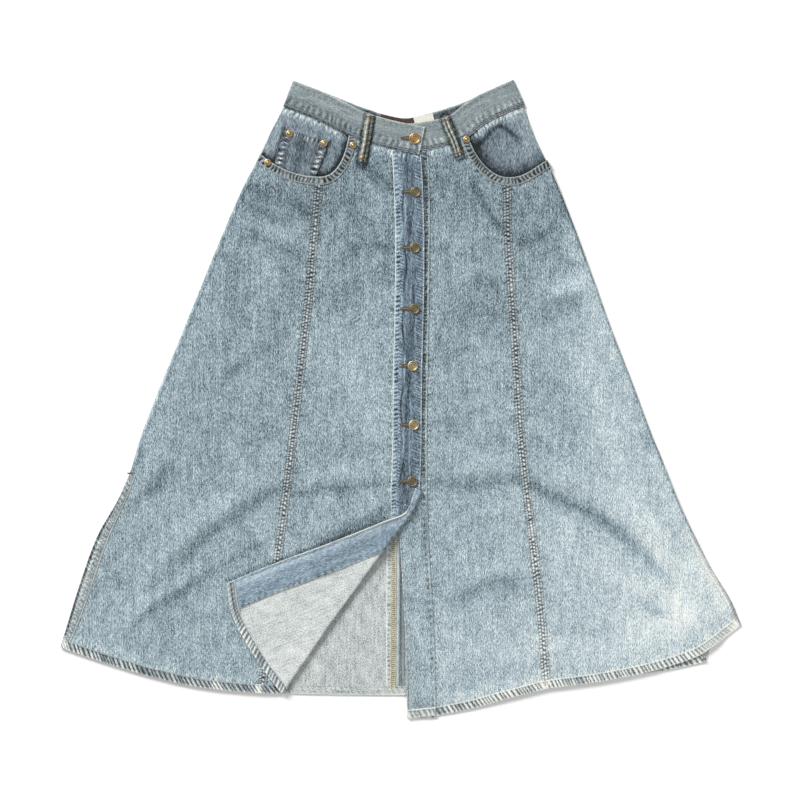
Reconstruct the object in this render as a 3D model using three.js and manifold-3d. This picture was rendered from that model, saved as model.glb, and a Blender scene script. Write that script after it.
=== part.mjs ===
// A long, flared denim skirt that buttons down the front, laid flat on its back.
//
// Millimetres, +Z up. The skirt lies on the plane z = 0 with its waist towards +Y, and the origin is on
// that plane, under the middle of its outline. Right and left are the wearer's: +X is the wearer's left.
// The lower corner of the buttonhole edge is turned back, so the inside of the skirt shows there.

import * as THREE from "three";
import { mergeVertices } from "three/addons/utils/BufferGeometryUtils.js";
import Module from "manifold-3d";

const { lerp, smoothstep } = THREE.MathUtils;

// Cloth: one layer, two layers sewn together, a narrow turned hem, the gap kept at every seam, and the wider
// one along the curve of the waistband.
const CLOTH = 1.5;
const DOUBLE_CLOTH = 3.0;
const HEM_CLOTH = 2.4;
const SEAM_GAP = 0.3;
const WAIST_GAP = 1.1;
const LAYER = CLOTH + SEAM_GAP;

// Sewn widths.
const WAISTBAND_DEPTH = 42;
const PLACKET_WIDTH = 43;
const HEM_DEPTH = 13;
const SLIT_HEM = 11;
const POCKET_BAND = 12;
const FELLED_SEAM = 12;
const BACK_SEAM = 15;
const BAND_CLOTH = 1.0;

// Heights of the front above the surface: at the side seams, and once it has eased off them.
const FRONT_FLOOR = 3.6;
const EASE = 18;
const SIDE_CLEARANCE = LAYER;
const SLIT_CLEARANCE = HEM_CLOTH + SEAM_GAP;
const DROOP = { from: 4, to: 34 };
const WAIST_EASE = { from: 300, to: 362 };

// The overlap rides on the underlap, and comes down beside it between these two places.
const OVERLAP_LIFT = DOUBLE_CLOTH + 2 * SEAM_GAP;
const OVERLAP_RAMP = { from: -66, to: -22 };

// The turned-back corner.
const TURN_RADIUS = 2.25;
const TURN_STEPS = 4;
const FLAP_EDGE_LIFT = 4.5;

// Hardware.
const BUTTON_RADIUS = 7.9;
const WAIST_BUTTON_RADIUS = 8.5;
const SHANK_RADIUS = 2.4;
const RIVET_RADIUS = 5.2;
const BUTTONHOLE = { length: 19.5, slot: 1.6, eye: 3.2 };
const ROUND_STEPS = 18;

// Where the long lines of the garment cross a level y: the side edges, the princess seams, the edge with
// the buttonholes and, under it, the edge with the buttons. The right-hand side slit opens below y = -110.
const LEVELS = [
  { y: 405, sideRight: -193, sideLeft: 196.5 },
  { y: 385, sideRight: -201, sideLeft: 204 },
  { y: 340, sideRight: -225, sideLeft: 227, overlap: 32, underlap: -1 },
  { y: 300, sideRight: -245, seamRight: -125, overlap: 33.5, underlap: 0.5, seamLeft: 159.5, sideLeft: 244 },
  { y: 250, sideRight: -266.5, seamRight: -130, overlap: 35, underlap: 0.5, seamLeft: 160.5, sideLeft: 263.5 },
  { y: 180, sideRight: -295, seamRight: -135.5, overlap: 35, underlap: -0.5, seamLeft: 164.5, sideLeft: 289 },
  { y: 110, sideRight: -324, seamRight: -143, overlap: 33.5, underlap: -1.5, seamLeft: 169.5, sideLeft: 314 },
  { y: 30, sideRight: -356, seamRight: -152, overlap: 31.5, underlap: -3, seamLeft: 174.5, sideLeft: 345 },
  { y: -50, sideRight: -388, seamRight: -161.5, overlap: 31, underlap: -4, seamLeft: 179.5, sideLeft: 375 },
  { y: -110, sideRight: -406.5, seamRight: -168.5, overlap: 29.5, underlap: -4, seamLeft: 185.5, sideLeft: 399 },
  { y: -150, sideRight: -422.5, seamRight: -173.5, underlap: -3.5, seamLeft: 190, sideLeft: 415 },
  { y: -200, sideRight: -445.5, seamRight: -180, underlap: -2, seamLeft: 196.5, sideLeft: 438 },
  { y: -250, sideRight: -464, seamRight: -186.5, underlap: 1, seamLeft: 202.5, sideLeft: 463.5 },
  { y: -300, sideRight: -481, seamRight: -192.5, underlap: 4, seamLeft: 208, sideLeft: 494 },
  { y: -340, sideRight: -496, seamRight: -197.5, underlap: 6, seamLeft: 212, sideLeft: 510.5 },
  { y: -385, sideRight: -514, seamRight: -203, underlap: 8, seamLeft: 215, sideLeft: 515 },
];

// The back's own side edges, where a side slit parts them from the front's.
const BACK_LEVELS = [
  { y: -150, sideRight: -424, sideLeft: 408 },
  { y: -205, sideRight: -455, sideLeft: 424 },
  { y: -280, sideRight: -482.5, sideLeft: 444 },
  { y: -330, sideRight: -498, sideLeft: 455 },
];

// Hemlines, from the wearer's right to the left.
const HEM_RIGHT = [
  { x: -511, y: -372 },
  { x: -451, y: -392.5 },
  { x: -377, y: -415 },
  { x: -302, y: -431.5 },
  { x: -209.5, y: -440.5 },
  { x: -179.5, y: -440.5 },
];
const HEM_LEFT = [
  { x: 10, y: -479 },
  { x: 51.5, y: -475 },
  { x: 104, y: -464.5 },
  { x: 155, y: -450.5 },
  { x: 218.5, y: -434 },
  { x: 303.5, y: -422.5 },
  { x: 392, y: -403.5 },
  { x: 450, y: -383 },
  { x: 468, y: -371 },
  { x: 510.5, y: -339 },
];
const HEM_BACK = [
  { x: -509, y: -366 },
  { x: -451, y: -389 },
  { x: -377, y: -410.5 },
  { x: -302, y: -428 },
  { x: -209.5, y: -439 },
  { x: -91, y: -443 },
  { x: 74, y: -442.5 },
  { x: 149, y: -437 },
  { x: 303.5, y: -417.5 },
  { x: 392, y: -407.5 },
  { x: 457.5, y: -394 },
];

// The waistband's top edge: the front from each side fold to its buttoned end, and the back.
const WAIST_FRONT_RIGHT = [
  { x: -158.5, y: 477.5 },
  { x: -103.5, y: 455.5 },
  { x: -57.5, y: 432.5 },
  { x: -16, y: 419 },
  { x: 36, y: 408 },
];
const WAIST_FRONT_LEFT = [
  { x: -2, y: 412 },
  { x: 38, y: 416.5 },
  { x: 73.5, y: 426 },
  { x: 96, y: 443.5 },
  { x: 119, y: 457 },
  { x: 166, y: 478.5 },
];
const WAIST_BACK = [
  { x: -158.5, y: 477.5 },
  { x: -103.5, y: 456.5 },
  { x: -67, y: 442 },
  { x: -29.5, y: 429 },
  { x: 8, y: 422 },
  { x: 44, y: 429.5 },
  { x: 96.5, y: 446.5 },
  { x: 119, y: 457.5 },
  { x: 166, y: 478.5 },
];

// The line that the turned-back corner folds along, and the corner's free edges.
const FOLD_LINE = [
  { x: 28, y: -136 },
  { x: 12, y: -169 },
  { x: -4, y: -191 },
  { x: -55, y: -260 },
  { x: -107, y: -322 },
  { x: -179.5, y: -440.5 },
];
const FLAP_EDGE = [
  { x: 22, y: -133 },
  { x: 9, y: -167.5 },
  { x: -28, y: -184 },
  { x: -105.5, y: -215 },
  { x: -195.5, y: -248.5 },
  { x: -260.5, y: -275.5 },
];
const FLAP_HEM = [
  { x: -187, y: -440.5 },
  { x: -214, y: -393.5 },
  { x: -252.5, y: -323.5 },
  { x: -260.5, y: -275.5 },
];

// Pocket mouths: each runs from the side seam down to the top of the princess seam and up to the waist.
const RIGHT_POCKET = {
  outer: { start: [-208, 366], startPull: [-190, 350], endPull: [-160, 333.5], end: [-122, 333.5] },
  inner: { start: [-122, 333.5], startPull: [-98, 333.5], endPull: [-84, 358] },
  waistX: -78,
  facing: { waist: [-174.5, -58], start: [-219, 347], startPull: [-190, 308], endPull: [-90, 294], end: [-57, 360] },
};
const LEFT_POCKET = {
  inner: { startPull: [105, 376], endPull: [129, 334], end: [159.5, 333] },
  outer: { start: [159.5, 333], startPull: [185, 331], endPull: [200, 348], end: [220, 359] },
  waistX: 102,
  facing: { waist: [83, 183], start: [83, 372], startPull: [105, 300], endPull: [190, 288], end: [229, 336] },
};
const COIN_POCKET = { topRight: [-173.5, 406.5], topLeft: [-106, 388], footRight: [-192, 346], footLeft: [-131, 325] };

// Soft folds in the laid-out front: a ridge from one place to another, with a sideways bow at its middle.
const FOLDS = [
  { name: "large fold on the left side", x0: 192, y0: -92, x1: 420, y1: -255, bow: 16, width: 21, height: 4.6 },
  { name: "lower fold on the left side", x0: 240, y0: -228, x1: 400, y1: -318, bow: 8, width: 20, height: 2.0 },
  { name: "cross fold left of the buttons", x0: 62, y0: -112, x1: 196, y1: -108, bow: 6, width: 16, height: 2.4 },
  { name: "low fold left of the buttons", x0: 80, y0: -290, x1: 190, y1: -258, bow: 8, width: 17, height: 2.4 },
  { name: "short fold at the left hip", x0: 205, y0: 148, x1: 292, y1: 168, bow: 4, width: 15, height: 2.2 },
  { name: "fold under the left pocket", x0: 98, y0: 318, x1: 158, y1: 236, bow: 5, width: 12, height: 1.8 },
  { name: "upper fold on the left thigh", x0: 70, y0: 180, x1: 150, y1: 168, bow: 5, width: 14, height: 1.5 },
  { name: "long fold on the right side", x0: -168, y0: -118, x1: -390, y1: -262, bow: -12, width: 19, height: 3.2 },
  { name: "lower fold on the right side", x0: -282, y0: -246, x1: -424, y1: -350, bow: -6, width: 17, height: 2.6 },
  { name: "fold above the right slit", x0: -338, y0: -78, x1: -420, y1: -170, bow: -5, width: 15, height: 2.2 },
  { name: "cross fold right of the buttons", x0: -156, y0: -126, x1: -44, y1: -116, bow: 5, width: 15, height: 2.0 },
  { name: "first fold under the right pocket", x0: -232, y0: 318, x1: -150, y1: 288, bow: 4, width: 12, height: 1.8 },
  { name: "second fold under the right pocket", x0: -222, y0: 262, x1: -138, y1: 226, bow: 4, width: 13, height: 2.0 },
  { name: "fold on the right thigh", x0: -300, y0: 10, x1: -200, y1: 90, bow: 5, width: 16, height: 1.6 },
];
const FOLD_KEEP_CLEAR = { centre: 14, from: 42, to: 82 };

const BUTTON_PLACES = [
  { name: "waist_button", x: 21, y: 391 },
  { name: "front_button_1", x: 22, y: 311 },
  { name: "front_button_2", x: 21, y: 227 },
  { name: "front_button_3", x: 20.5, y: 135.5 },
  { name: "front_button_4", x: 18, y: 50 },
  { name: "front_button_5", x: 19.5, y: -38.5 },
  { name: "front_button_6", x: 17.5, y: -123 },
];
const RIVET_PLACES = [
  { name: "right_pocket_side_rivet", x: -199.5, y: 355, on: "pocketEdge" },
  { name: "right_pocket_waist_rivet", x: -71.5, y: 381, on: "pocketEdge" },
  { name: "left_pocket_waist_rivet", x: 98.5, y: 389.5, on: "pocketEdge" },
  { name: "coin_pocket_side_rivet", x: -167, y: 398.5, on: "coinPocket" },
  { name: "coin_pocket_front_rivet", x: -115, y: 384, on: "coinPocket" },
];
const BELT_LOOPS = [
  { name: "right_belt_loop", x0: -46, y0: 425.5, x1: -58, y1: 356 },
  { name: "left_belt_loop", x0: 67, y0: 421, x1: 88, y1: 366 },
];
const LOOP = { width: 14, thickness: 1.6, end: 2.6, arch: 1.4 };
const LABELS = [
  { name: "inner_label", x0: -30, x1: 18, depth: 24, colour: 0x3a2419 },
  { name: "care_label", x0: 19, x1: 48, depth: 20, colour: 0xd8d6cb },
];
const LABEL_THICKNESS = 0.8;
const LABEL_STEP = { from: 62, to: 110 };

const DENIM = new THREE.MeshStandardMaterial({ name: "washed denim", color: 0x8fa3b0, roughness: 0.9 });
const DARK_DENIM = new THREE.MeshStandardMaterial({ name: "less worn denim", color: 0x6c7f90, roughness: 0.9 });
const DENIM_INSIDE = new THREE.MeshStandardMaterial({ name: "denim inside", color: 0xc1c9c9, roughness: 0.95 });
const ANTIQUE_BRASS = new THREE.MeshStandardMaterial({ name: "antique brass", color: 0x8d7346, roughness: 0.4, metalness: 0.9 });

const wasm = await Module();
wasm.setup();

const at = (x, y, z = 0) => new THREE.Vector3(x, y, z);
const place = ([x, y]) => at(x, y);
const last = (list) => list[list.length - 1];

/** A smooth curve in plan through a list of points. */
function curveThrough(points) {
  return new THREE.CatmullRomCurve3(points.map((p) => at(p.x, p.y)), false, "centripetal");
}

/** A rounded curve in plan between two points, pulled towards two others. */
function rounded({ start, startPull, endPull, end }) {
  return new THREE.CubicBezierCurve3(place(start), place(startPull), place(endPull), place(end));
}

/** The value that a table gives at a place, read straight between its rows. */
function read(table, key, column, value) {
  const rows = table.filter((row) => row[column] !== undefined && row[key] !== undefined);
  const rising = rows[0][key] < last(rows)[key];
  const ordered = rising ? rows : [...rows].reverse();
  const after = ordered.findIndex((row) => row[key] > value);
  if (after === 0) return ordered[0][column];
  if (after < 0) return last(ordered)[column];
  const [a, b] = [ordered[after - 1], ordered[after]];
  return lerp(a[column], b[column], (value - a[key]) / (b[key] - a[key]));
}

/** A line of the garment that runs down it, from one point to another, through the levels between them. */
function lineDown(column, from, to, levels = LEVELS) {
  const between = levels.filter((row) => row[column] !== undefined && row.y < from.y - 8 && row.y > to.y + 8);
  return curveThrough([from, ...between.map((row) => at(row[column], row.y)), to]);
}

/** A line that runs across the garment, such as a hem, from one x to another. */
function lineAcross(table, fromX, toX) {
  const [low, high] = [Math.min(fromX, toX), Math.max(fromX, toX)];
  const between = table.filter((p) => p.x > low + 4 && p.x < high - 4);
  const ordered = fromX < toX ? between : [...between].reverse();
  const end = (x) => at(x, read(table, "x", "y", x));
  return curveThrough([end(fromX), ...ordered, end(toX)]);
}

/** Points along a curve at the given shares of its length. */
const along = (curve, shares) => shares.map((share) => curve.getPointAt(share));

/** Shares of a length: one at each fixed distance from its start and end, and even steps between them. */
function shares(length, fromStart, fromEnd, steps) {
  const needed = (last(fromStart) + last(fromEnd)) * 1.25;
  const scale = Math.min(1, length / needed);
  const start = fromStart.map((d) => d * scale);
  const end = fromEnd.map((d) => length - d * scale).reverse();
  const inner = Array.from({ length: steps - 1 }, (_, i) => lerp(last(start), end[0], (i + 1) / steps));
  return [...start, ...inner, ...end].map((d) => d / length);
}

/** How far each point of a list lies along it, as shares of its length. */
function distances(points) {
  const sums = [0];
  points.slice(1).forEach((p, i) => sums.push(sums[i] + p.distanceTo(points[i])));
  return sums.map((sum) => sum / last(sums));
}

/**
 * The plan of a four-sided piece of cloth, in rows from its top to its foot. Left and right are lists with
 * a point for each row, top and bottom are curves, and columns gives a row's shares of its width.
 */
function plan({ left, right, top, bottom, columns }) {
  const down = distances(left);
  const bulge = (curve, u) => {
    const straight = curve.getPointAt(0).lerp(curve.getPointAt(1), u);
    return curve.getPointAt(u).sub(straight);
  };
  return left.map((start, row) =>
    columns(start.distanceTo(right[row]), row).map((u) =>
      start.clone().lerp(right[row], u)
        .addScaledVector(bulge(top, u), 1 - down[row])
        .addScaledVector(bulge(bottom, u), down[row])));
}

/** A wall of cloth. Rows of points on its middle surface run down the garment; a row may be shorter than the next. */
class Sheet {
  constructor(middle, thickness) {
    this.middle = middle;
    this.thickness = typeof thickness === "function" ? thickness : () => thickness;
  }

  /** A sheet over a plan, lying on a floor whose height is a function of the place. */
  static over(points, floor, thickness) {
    const wall = typeof thickness === "function" ? thickness : () => thickness;
    const lift = (p, row, column) => at(p.x, p.y, floor(p.x, p.y) + wall(row, column) / 2);
    return new Sheet(points.map((line, row) => line.map((p, column) => lift(p, row, column))), wall);
  }

  point(row, column) {
    return this.middle[row]?.[column];
  }

  normal(row, column) {
    const here = this.point(row, column);
    const near = (r, c) => this.point(r, c) ?? here;
    const down = near(row + 1, column).clone().sub(near(row - 1, column));
    const across = near(row, column + 1).clone().sub(near(row, column - 1));
    return down.cross(across).normalize();
  }

  /** A point on the outer face (side 1) or the inner face (side -1), moved off it by a lift. */
  face(row, column, side = 1, lift = 0) {
    const off = side * (this.thickness(row, column) / 2 + lift);
    return this.point(row, column).clone().addScaledVector(this.normal(row, column), off);
  }

  isCell(row, column) {
    return [[0, 0], [1, 0], [0, 1], [1, 1]].every(([r, c]) => this.point(row + r, column + c) !== undefined);
  }

  /** The closed wall: both faces, and a rim wherever a cell has no neighbour. */
  geometry() {
    const triangles = [];
    const quad = (a, b, c, d) => triangles.push(a, b, c, a, c, d);
    const outer = ([r, c]) => this.face(r, c, 1);
    const inner = ([r, c]) => this.face(r, c, -1);
    this.middle.forEach((line, row) => line.forEach((_, column) => {
      if (!this.isCell(row, column)) return;
      const corners = [[row, column], [row + 1, column], [row + 1, column + 1], [row, column + 1]];
      const neighbours = [[row, column - 1], [row + 1, column], [row, column + 1], [row - 1, column]];
      quad(...corners.map(outer));
      quad(...[...corners].reverse().map(inner));
      neighbours.forEach(([r, c], side) => {
        if (this.isCell(r, c)) return;
        const [p, q] = [corners[side], corners[(side + 1) % 4]];
        quad(outer(p), inner(p), inner(q), outer(q));
      });
    }));
    return new THREE.BufferGeometry().setFromPoints(triangles);
  }
}

const skirt = new THREE.Group();
skirt.name = "denim_skirt";

/** Adds a named piece to the skirt. */
function piece(name, geometry, material) {
  const mesh = new THREE.Mesh(geometry, material);
  mesh.name = name;
  skirt.add(mesh);
  return mesh;
}

/** A closed geometry as a solid, and a solid as a geometry. */
function toSolid(geometry) {
  const bare = geometry.clone();
  ["normal", "uv"].forEach((name) => bare.deleteAttribute(name));
  const merged = mergeVertices(bare, 1e-3);
  return new wasm.Manifold(new wasm.Mesh({
    numProp: 3,
    vertProperties: new Float32Array(merged.attributes.position.array),
    triVerts: new Uint32Array(merged.index.array),
  }));
}
function toGeometry(solid) {
  const mesh = solid.getMesh();
  const geometry = new THREE.BufferGeometry();
  geometry.setAttribute("position", new THREE.BufferAttribute(new Float32Array(mesh.vertProperties), 3));
  return geometry.setIndex(new THREE.BufferAttribute(new Uint32Array(mesh.triVerts), 1));
}

/** The place's distance inside the nearer side edge of the front. */
function fromSide(x, y) {
  return Math.min(x - read(LEVELS, "y", "sideRight", y), read(LEVELS, "y", "sideLeft", y) - x);
}

/** How far a place lies outside the back: past its hem, or past its left side edge below the slit's top. */
function pastBack(x, y) {
  const pastHem = read(HEM_BACK, "x", "y", x) - y;
  const pastSide = y < -110 ? x - read(BACK_LEVELS, "y", "sideLeft", y) : 0;
  return Math.max(pastHem, pastSide, 0);
}

/** The height that the soft folds add at a place. */
function foldsAt(x, y) {
  const ridges = FOLDS.reduce((sum, fold) => {
    const [dx, dy] = [fold.x1 - fold.x0, fold.y1 - fold.y0];
    const length = Math.hypot(dx, dy);
    const t = ((x - fold.x0) * dx + (y - fold.y0) * dy) / length ** 2;
    const aside = ((x - fold.x0) * -dy + (y - fold.y0) * dx) / length - fold.bow * 4 * t * (1 - t);
    const fade = smoothstep(t, 0, 0.25) * (1 - smoothstep(t, 0.7, 1));
    return sum + fold.height * fade * Math.exp(-((aside / fold.width) ** 2));
  }, 0);
  const clearOfButtons = smoothstep(Math.abs(x - FOLD_KEEP_CLEAR.centre), FOLD_KEEP_CLEAR.from, FOLD_KEEP_CLEAR.to);
  return ridges * clearOfButtons * smoothstep(fromSide(x, y), 0, 30);
}

/** The front is lifted at the middle of the waist by the labels inside the band. */
const labelLift = (x) => (LABEL_THICKNESS + SEAM_GAP) * (1 - smoothstep(Math.abs(x), LABEL_STEP.from, LABEL_STEP.to));

/** The height that the front's lowest layer lies at. */
function frontFloor(x, y) {
  const atSide = lerp(SIDE_CLEARANCE, SLIT_CLEARANCE, smoothstep(-y, 60, 100));
  const eased = lerp(atSide, FRONT_FLOOR, smoothstep(fromSide(x, y), 0, EASE));
  const held = 1 - smoothstep(pastBack(x, y), DROOP.from, DROOP.to);
  return eased * held + foldsAt(x, y) + labelLift(x) * smoothstep(y, WAIST_EASE.from, WAIST_EASE.to);
}

/** How far the buttonhole side is lifted by the edge that it overlaps. */
const overlapLift = (x) => OVERLAP_LIFT * smoothstep(x, OVERLAP_RAMP.from, OVERLAP_RAMP.to);

/** The waist seam: the waistband's lower edge, from its top edge. */
function waistSeam(table) {
  const curve = curveThrough(table);
  const steps = 24;
  return Array.from({ length: steps + 1 }, (_, i) => {
    const tangent = curve.getTangentAt(i / steps);
    const down = at(tangent.y, -tangent.x).multiplyScalar(WAISTBAND_DEPTH + WAIST_GAP);
    return curve.getPointAt(i / steps).add(down);
  });
}
const SEAM_FRONT_RIGHT = waistSeam(WAIST_FRONT_RIGHT);
const SEAM_FRONT_LEFT = waistSeam(WAIST_FRONT_LEFT);
const SEAM_BACK = waistSeam(WAIST_BACK);
const onSeam = (table, x) => at(x, read(table, "x", "y", x));

// The back: two flared panels, felled together down the middle.

const backCentreTop = onSeam(SEAM_BACK, 4);
const backCentreFoot = at(-13, read(HEM_BACK, "x", "y", -13));
const backCentreBend = at(-4, 149);
const backCentre = curveThrough([backCentreTop, backCentreBend, at(-10, -76), backCentreFoot]);
const BACK_ROWS = [...shares(830, [0], [0, HEM_DEPTH], 20).slice(0, -2), 1 - HEM_DEPTH / 830, 1];

/** A back panel's side edge, which leaves the front's below the top of the side slit. */
function backSide(column) {
  const corner = column === "sideRight" ? HEM_BACK[0] : last(HEM_BACK);
  const top = column === "sideRight" ? SEAM_BACK[0] : last(SEAM_BACK);
  const shared = LEVELS.filter((row) => row.y >= -110 && row.y < top.y - 8);
  const own = column === "sideRight" ? BACK_LEVELS : [...BACK_LEVELS, { y: -372, sideLeft: 464 }];
  return curveThrough([top, ...[...shared, ...own].map((row) => at(row[column], row.y)), corner]);
}

/** A back panel, lying flat, with its hem and its slit edge turned up on the inside. */
function backPanel(name, column) {
  const toCentre = column === "sideRight" ? 1 : -1;
  const side = along(backSide(column), BACK_ROWS);
  const centre = along(backCentre, BACK_ROWS).map((p) => p.add(at(-toCentre * SEAM_GAP / 2, 0)));
  const columns = (width) => {
    const list = shares(width, [0, SLIT_HEM], [0], 5);
    return column === "sideRight" ? list : list.map((u) => 1 - u).reverse();
  };
  const [left, right] = column === "sideRight" ? [side, centre] : [centre, side];
  const points = plan({
    left,
    right,
    top: lineAcross(SEAM_BACK, left[0].x, right[0].x),
    bottom: lineAcross(HEM_BACK, last(left).x, last(right).x),
    columns,
  });
  const edgeColumn = column === "sideRight" ? 0 : points[0].length - 1;
  const wall = (row, col) => {
    const turned = row >= points.length - 1 || (col === edgeColumn && side[row].y < -110);
    return turned ? HEM_CLOTH : CLOTH;
  };
  // The underside stays on the surface, so the wall is built up from z = 0 and not along its normals.
  const sheet = new Sheet(points, wall);
  sheet.face = (row, col, face = 1, lift = 0) => {
    const p = points[row][col];
    return at(p.x, p.y, face > 0 ? wall(row, col) + lift : -lift);
  };
  piece(name, sheet.geometry(), DENIM_INSIDE);
}
backPanel("back_right_panel", "sideRight");
backPanel("back_left_panel", "sideLeft");

/** A narrow strip of cloth along a centre line, on a floor of its own. */
function stripAlong(centre, width, floor, thickness) {
  const rows = centre.map((p, i) => {
    const ahead = centre[Math.min(i + 1, centre.length - 1)].clone().sub(centre[Math.max(i - 1, 0)]).setZ(0).normalize();
    const side = at(-ahead.y, ahead.x).multiplyScalar(width / 2);
    return [p.clone().sub(side), p.clone().add(side)];
  });
  return Sheet.over(rows, floor, thickness);
}
const backSeamRows = along(backCentre, BACK_ROWS.slice(0, -2));
piece("back_centre_seam", stripAlong(backSeamRows, BACK_SEAM, () => LAYER, BAND_CLOTH).geometry(), DENIM_INSIDE);

// The pocket mouths.

const rightMouthOuter = rounded(RIGHT_POCKET.outer);
const rightMouthInner = rounded({ ...RIGHT_POCKET.inner, end: onSeam(SEAM_FRONT_RIGHT, RIGHT_POCKET.waistX).toArray() });
const leftMouthInner = rounded({ ...LEFT_POCKET.inner, start: onSeam(SEAM_FRONT_LEFT, LEFT_POCKET.waistX).toArray() });
const leftMouthOuter = rounded(LEFT_POCKET.outer);
const MOUTH_STEPS = 12;
const mouthPoints = [rightMouthOuter, rightMouthInner, leftMouthInner, leftMouthOuter]
  .flatMap((curve) => curve.getSpacedPoints(MOUTH_STEPS));

/** How far a place is from the nearer pocket mouth. */
const fromMouth = (x, y) => Math.min(...mouthPoints.map((p) => Math.hypot(p.x - x, p.y - y)));

/** The front is lifted by the pocket facing under it, and again by the coin pocket. */
function pocketLift(x, y) {
  const distance = fromMouth(x, y);
  const overCoin = smoothstep(x, -222, -200) * (1 - smoothstep(x, -122, -100));
  return (LAYER + 0.4) * (1 - smoothstep(distance, 34, 76)) + LAYER * overCoin * (1 - smoothstep(distance, 22, 60));
}
const panelFloor = (x, y) => frontFloor(x, y) + pocketLift(x, y);

/** The cloth behind a pocket mouth, from the waist seam to below the mouth. */
function pocketFacing(name, { facing }, seam) {
  const [x0, x1] = facing.waist;
  const bottom = rounded(facing);
  const steps = [0, 0.14, 0.28, 0.42, 0.56, 0.7, 0.85, 1];
  const sideColumn = x0 < 0 ? "sideRight" : "sideLeft";
  const side = lineDown(sideColumn, onSeam(seam, x0 < 0 ? x0 : x1), x0 < 0 ? bottom.getPointAt(0) : bottom.getPointAt(1));
  const front = curveThrough([onSeam(seam, x0 < 0 ? x1 : x0), x0 < 0 ? bottom.getPointAt(1) : bottom.getPointAt(0)]);
  const points = plan({
    left: along(x0 < 0 ? side : front, steps),
    right: along(x0 < 0 ? front : side, steps),
    top: lineAcross(seam, x0, x1),
    bottom,
    columns: (width) => shares(width, x0 < 0 ? [0, 6, 14] : [0], x0 < 0 ? [0] : [0, 6, 14], 5),
  });
  piece(name, Sheet.over(points, frontFloor, CLOTH).geometry(), DARK_DENIM);
}
pocketFacing("right_pocket_facing", RIGHT_POCKET, SEAM_FRONT_RIGHT);
pocketFacing("left_pocket_facing", LEFT_POCKET, SEAM_FRONT_LEFT);

const coinFloor = (x, y) => frontFloor(x, y) + LAYER + 0.2;
const coinPlan = plan({
  left: along(curveThrough([place(COIN_POCKET.topRight), place(COIN_POCKET.footRight)]), [0, 0.16, 0.6, 1]),
  right: along(curveThrough([place(COIN_POCKET.topLeft), place(COIN_POCKET.footLeft)]), [0, 0.16, 0.6, 1]),
  top: curveThrough([place(COIN_POCKET.topRight), place(COIN_POCKET.topLeft)]),
  bottom: curveThrough([place(COIN_POCKET.footRight), place(COIN_POCKET.footLeft)]),
  columns: () => [0, 0.33, 0.67, 1],
});
piece("coin_pocket", Sheet.over(coinPlan, coinFloor, (row) => (row < 2 ? CLOTH + 0.5 : CLOTH)).geometry(), DARK_DENIM);

// The front: on each side a centre panel with a button edge and a side panel, joined by a princess seam.

const SEAM_ROW_SPACING = 30;

/** The rows of a princess seam: one at the pocket band's lower edge and one at the top of the hem. */
function seamRows(seam) {
  const length = seam.getLength();
  const steps = Math.round(length / SEAM_ROW_SPACING);
  return along(seam, shares(length, [0, POCKET_BAND], [0, HEM_DEPTH], steps));
}
const rightSeam = seamRows(lineDown("seamRight", rightMouthOuter.getPointAt(1), at(-209.5, -440.5)));
const leftSeam = seamRows(lineDown("seamLeft", leftMouthInner.getPointAt(1), at(218.5, -434)));
const aside = (points, dx) => points.map((p) => p.clone().add(at(dx, 0)));
const HALF_SEAM = FELLED_SEAM / 2;
const isHemRow = (rows, row) => row >= rows.length - 1;

/** A side panel, from the pocket mouth to the hem, with the slit's edge turned. */
function sidePanel(name, { seam, side, mouth, hem, sideAtLeft }) {
  const inner = aside(seam, sideAtLeft ? -SEAM_GAP / 2 : SEAM_GAP / 2);
  const outer = along(side, distances(seam));
  const [left, right] = sideAtLeft ? [outer, inner] : [inner, outer];
  const points = plan({
    left,
    right,
    top: mouth,
    bottom: hem,
    columns: (width) => (sideAtLeft
      ? shares(width, [0, SLIT_HEM], [0, HALF_SEAM], 7)
      : shares(width, [0, HALF_SEAM], [0, SLIT_HEM], 7)),
  });
  const edge = sideAtLeft ? 0 : points[0].length - 1;
  const wall = (row, column) => {
    const turned = isHemRow(points, row) || (column === edge && outer[row].y < -110);
    return turned ? HEM_CLOTH : CLOTH;
  };
  const sheet = Sheet.over(points, panelFloor, wall);
  piece(name, sheet.geometry(), DENIM);
  return sheet;
}
const rightSidePanel = sidePanel("front_right_side_panel", {
  seam: rightSeam,
  side: lineDown("sideRight", rightMouthOuter.getPointAt(0), HEM_RIGHT[0]),
  mouth: rightMouthOuter,
  hem: lineAcross(HEM_RIGHT, HEM_RIGHT[0].x, -209.5 - SEAM_GAP / 2),
  sideAtLeft: true,
});
const leftSidePanel = sidePanel("front_left_side_panel", {
  seam: leftSeam,
  side: lineDown("sideLeft", leftMouthOuter.getPointAt(1), last(HEM_LEFT)),
  mouth: leftMouthOuter,
  hem: lineAcross(HEM_LEFT, 218.5 + SEAM_GAP / 2, last(HEM_LEFT).x),
  sideAtLeft: false,
});

// The rows of a centre panel: a few beside the pocket mouth, then those of its princess seam.
const MOUTH_ROWS = [0, 0.25, 0.5, 0.75];
const withoutStart = (list) => list.slice(1);

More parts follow.
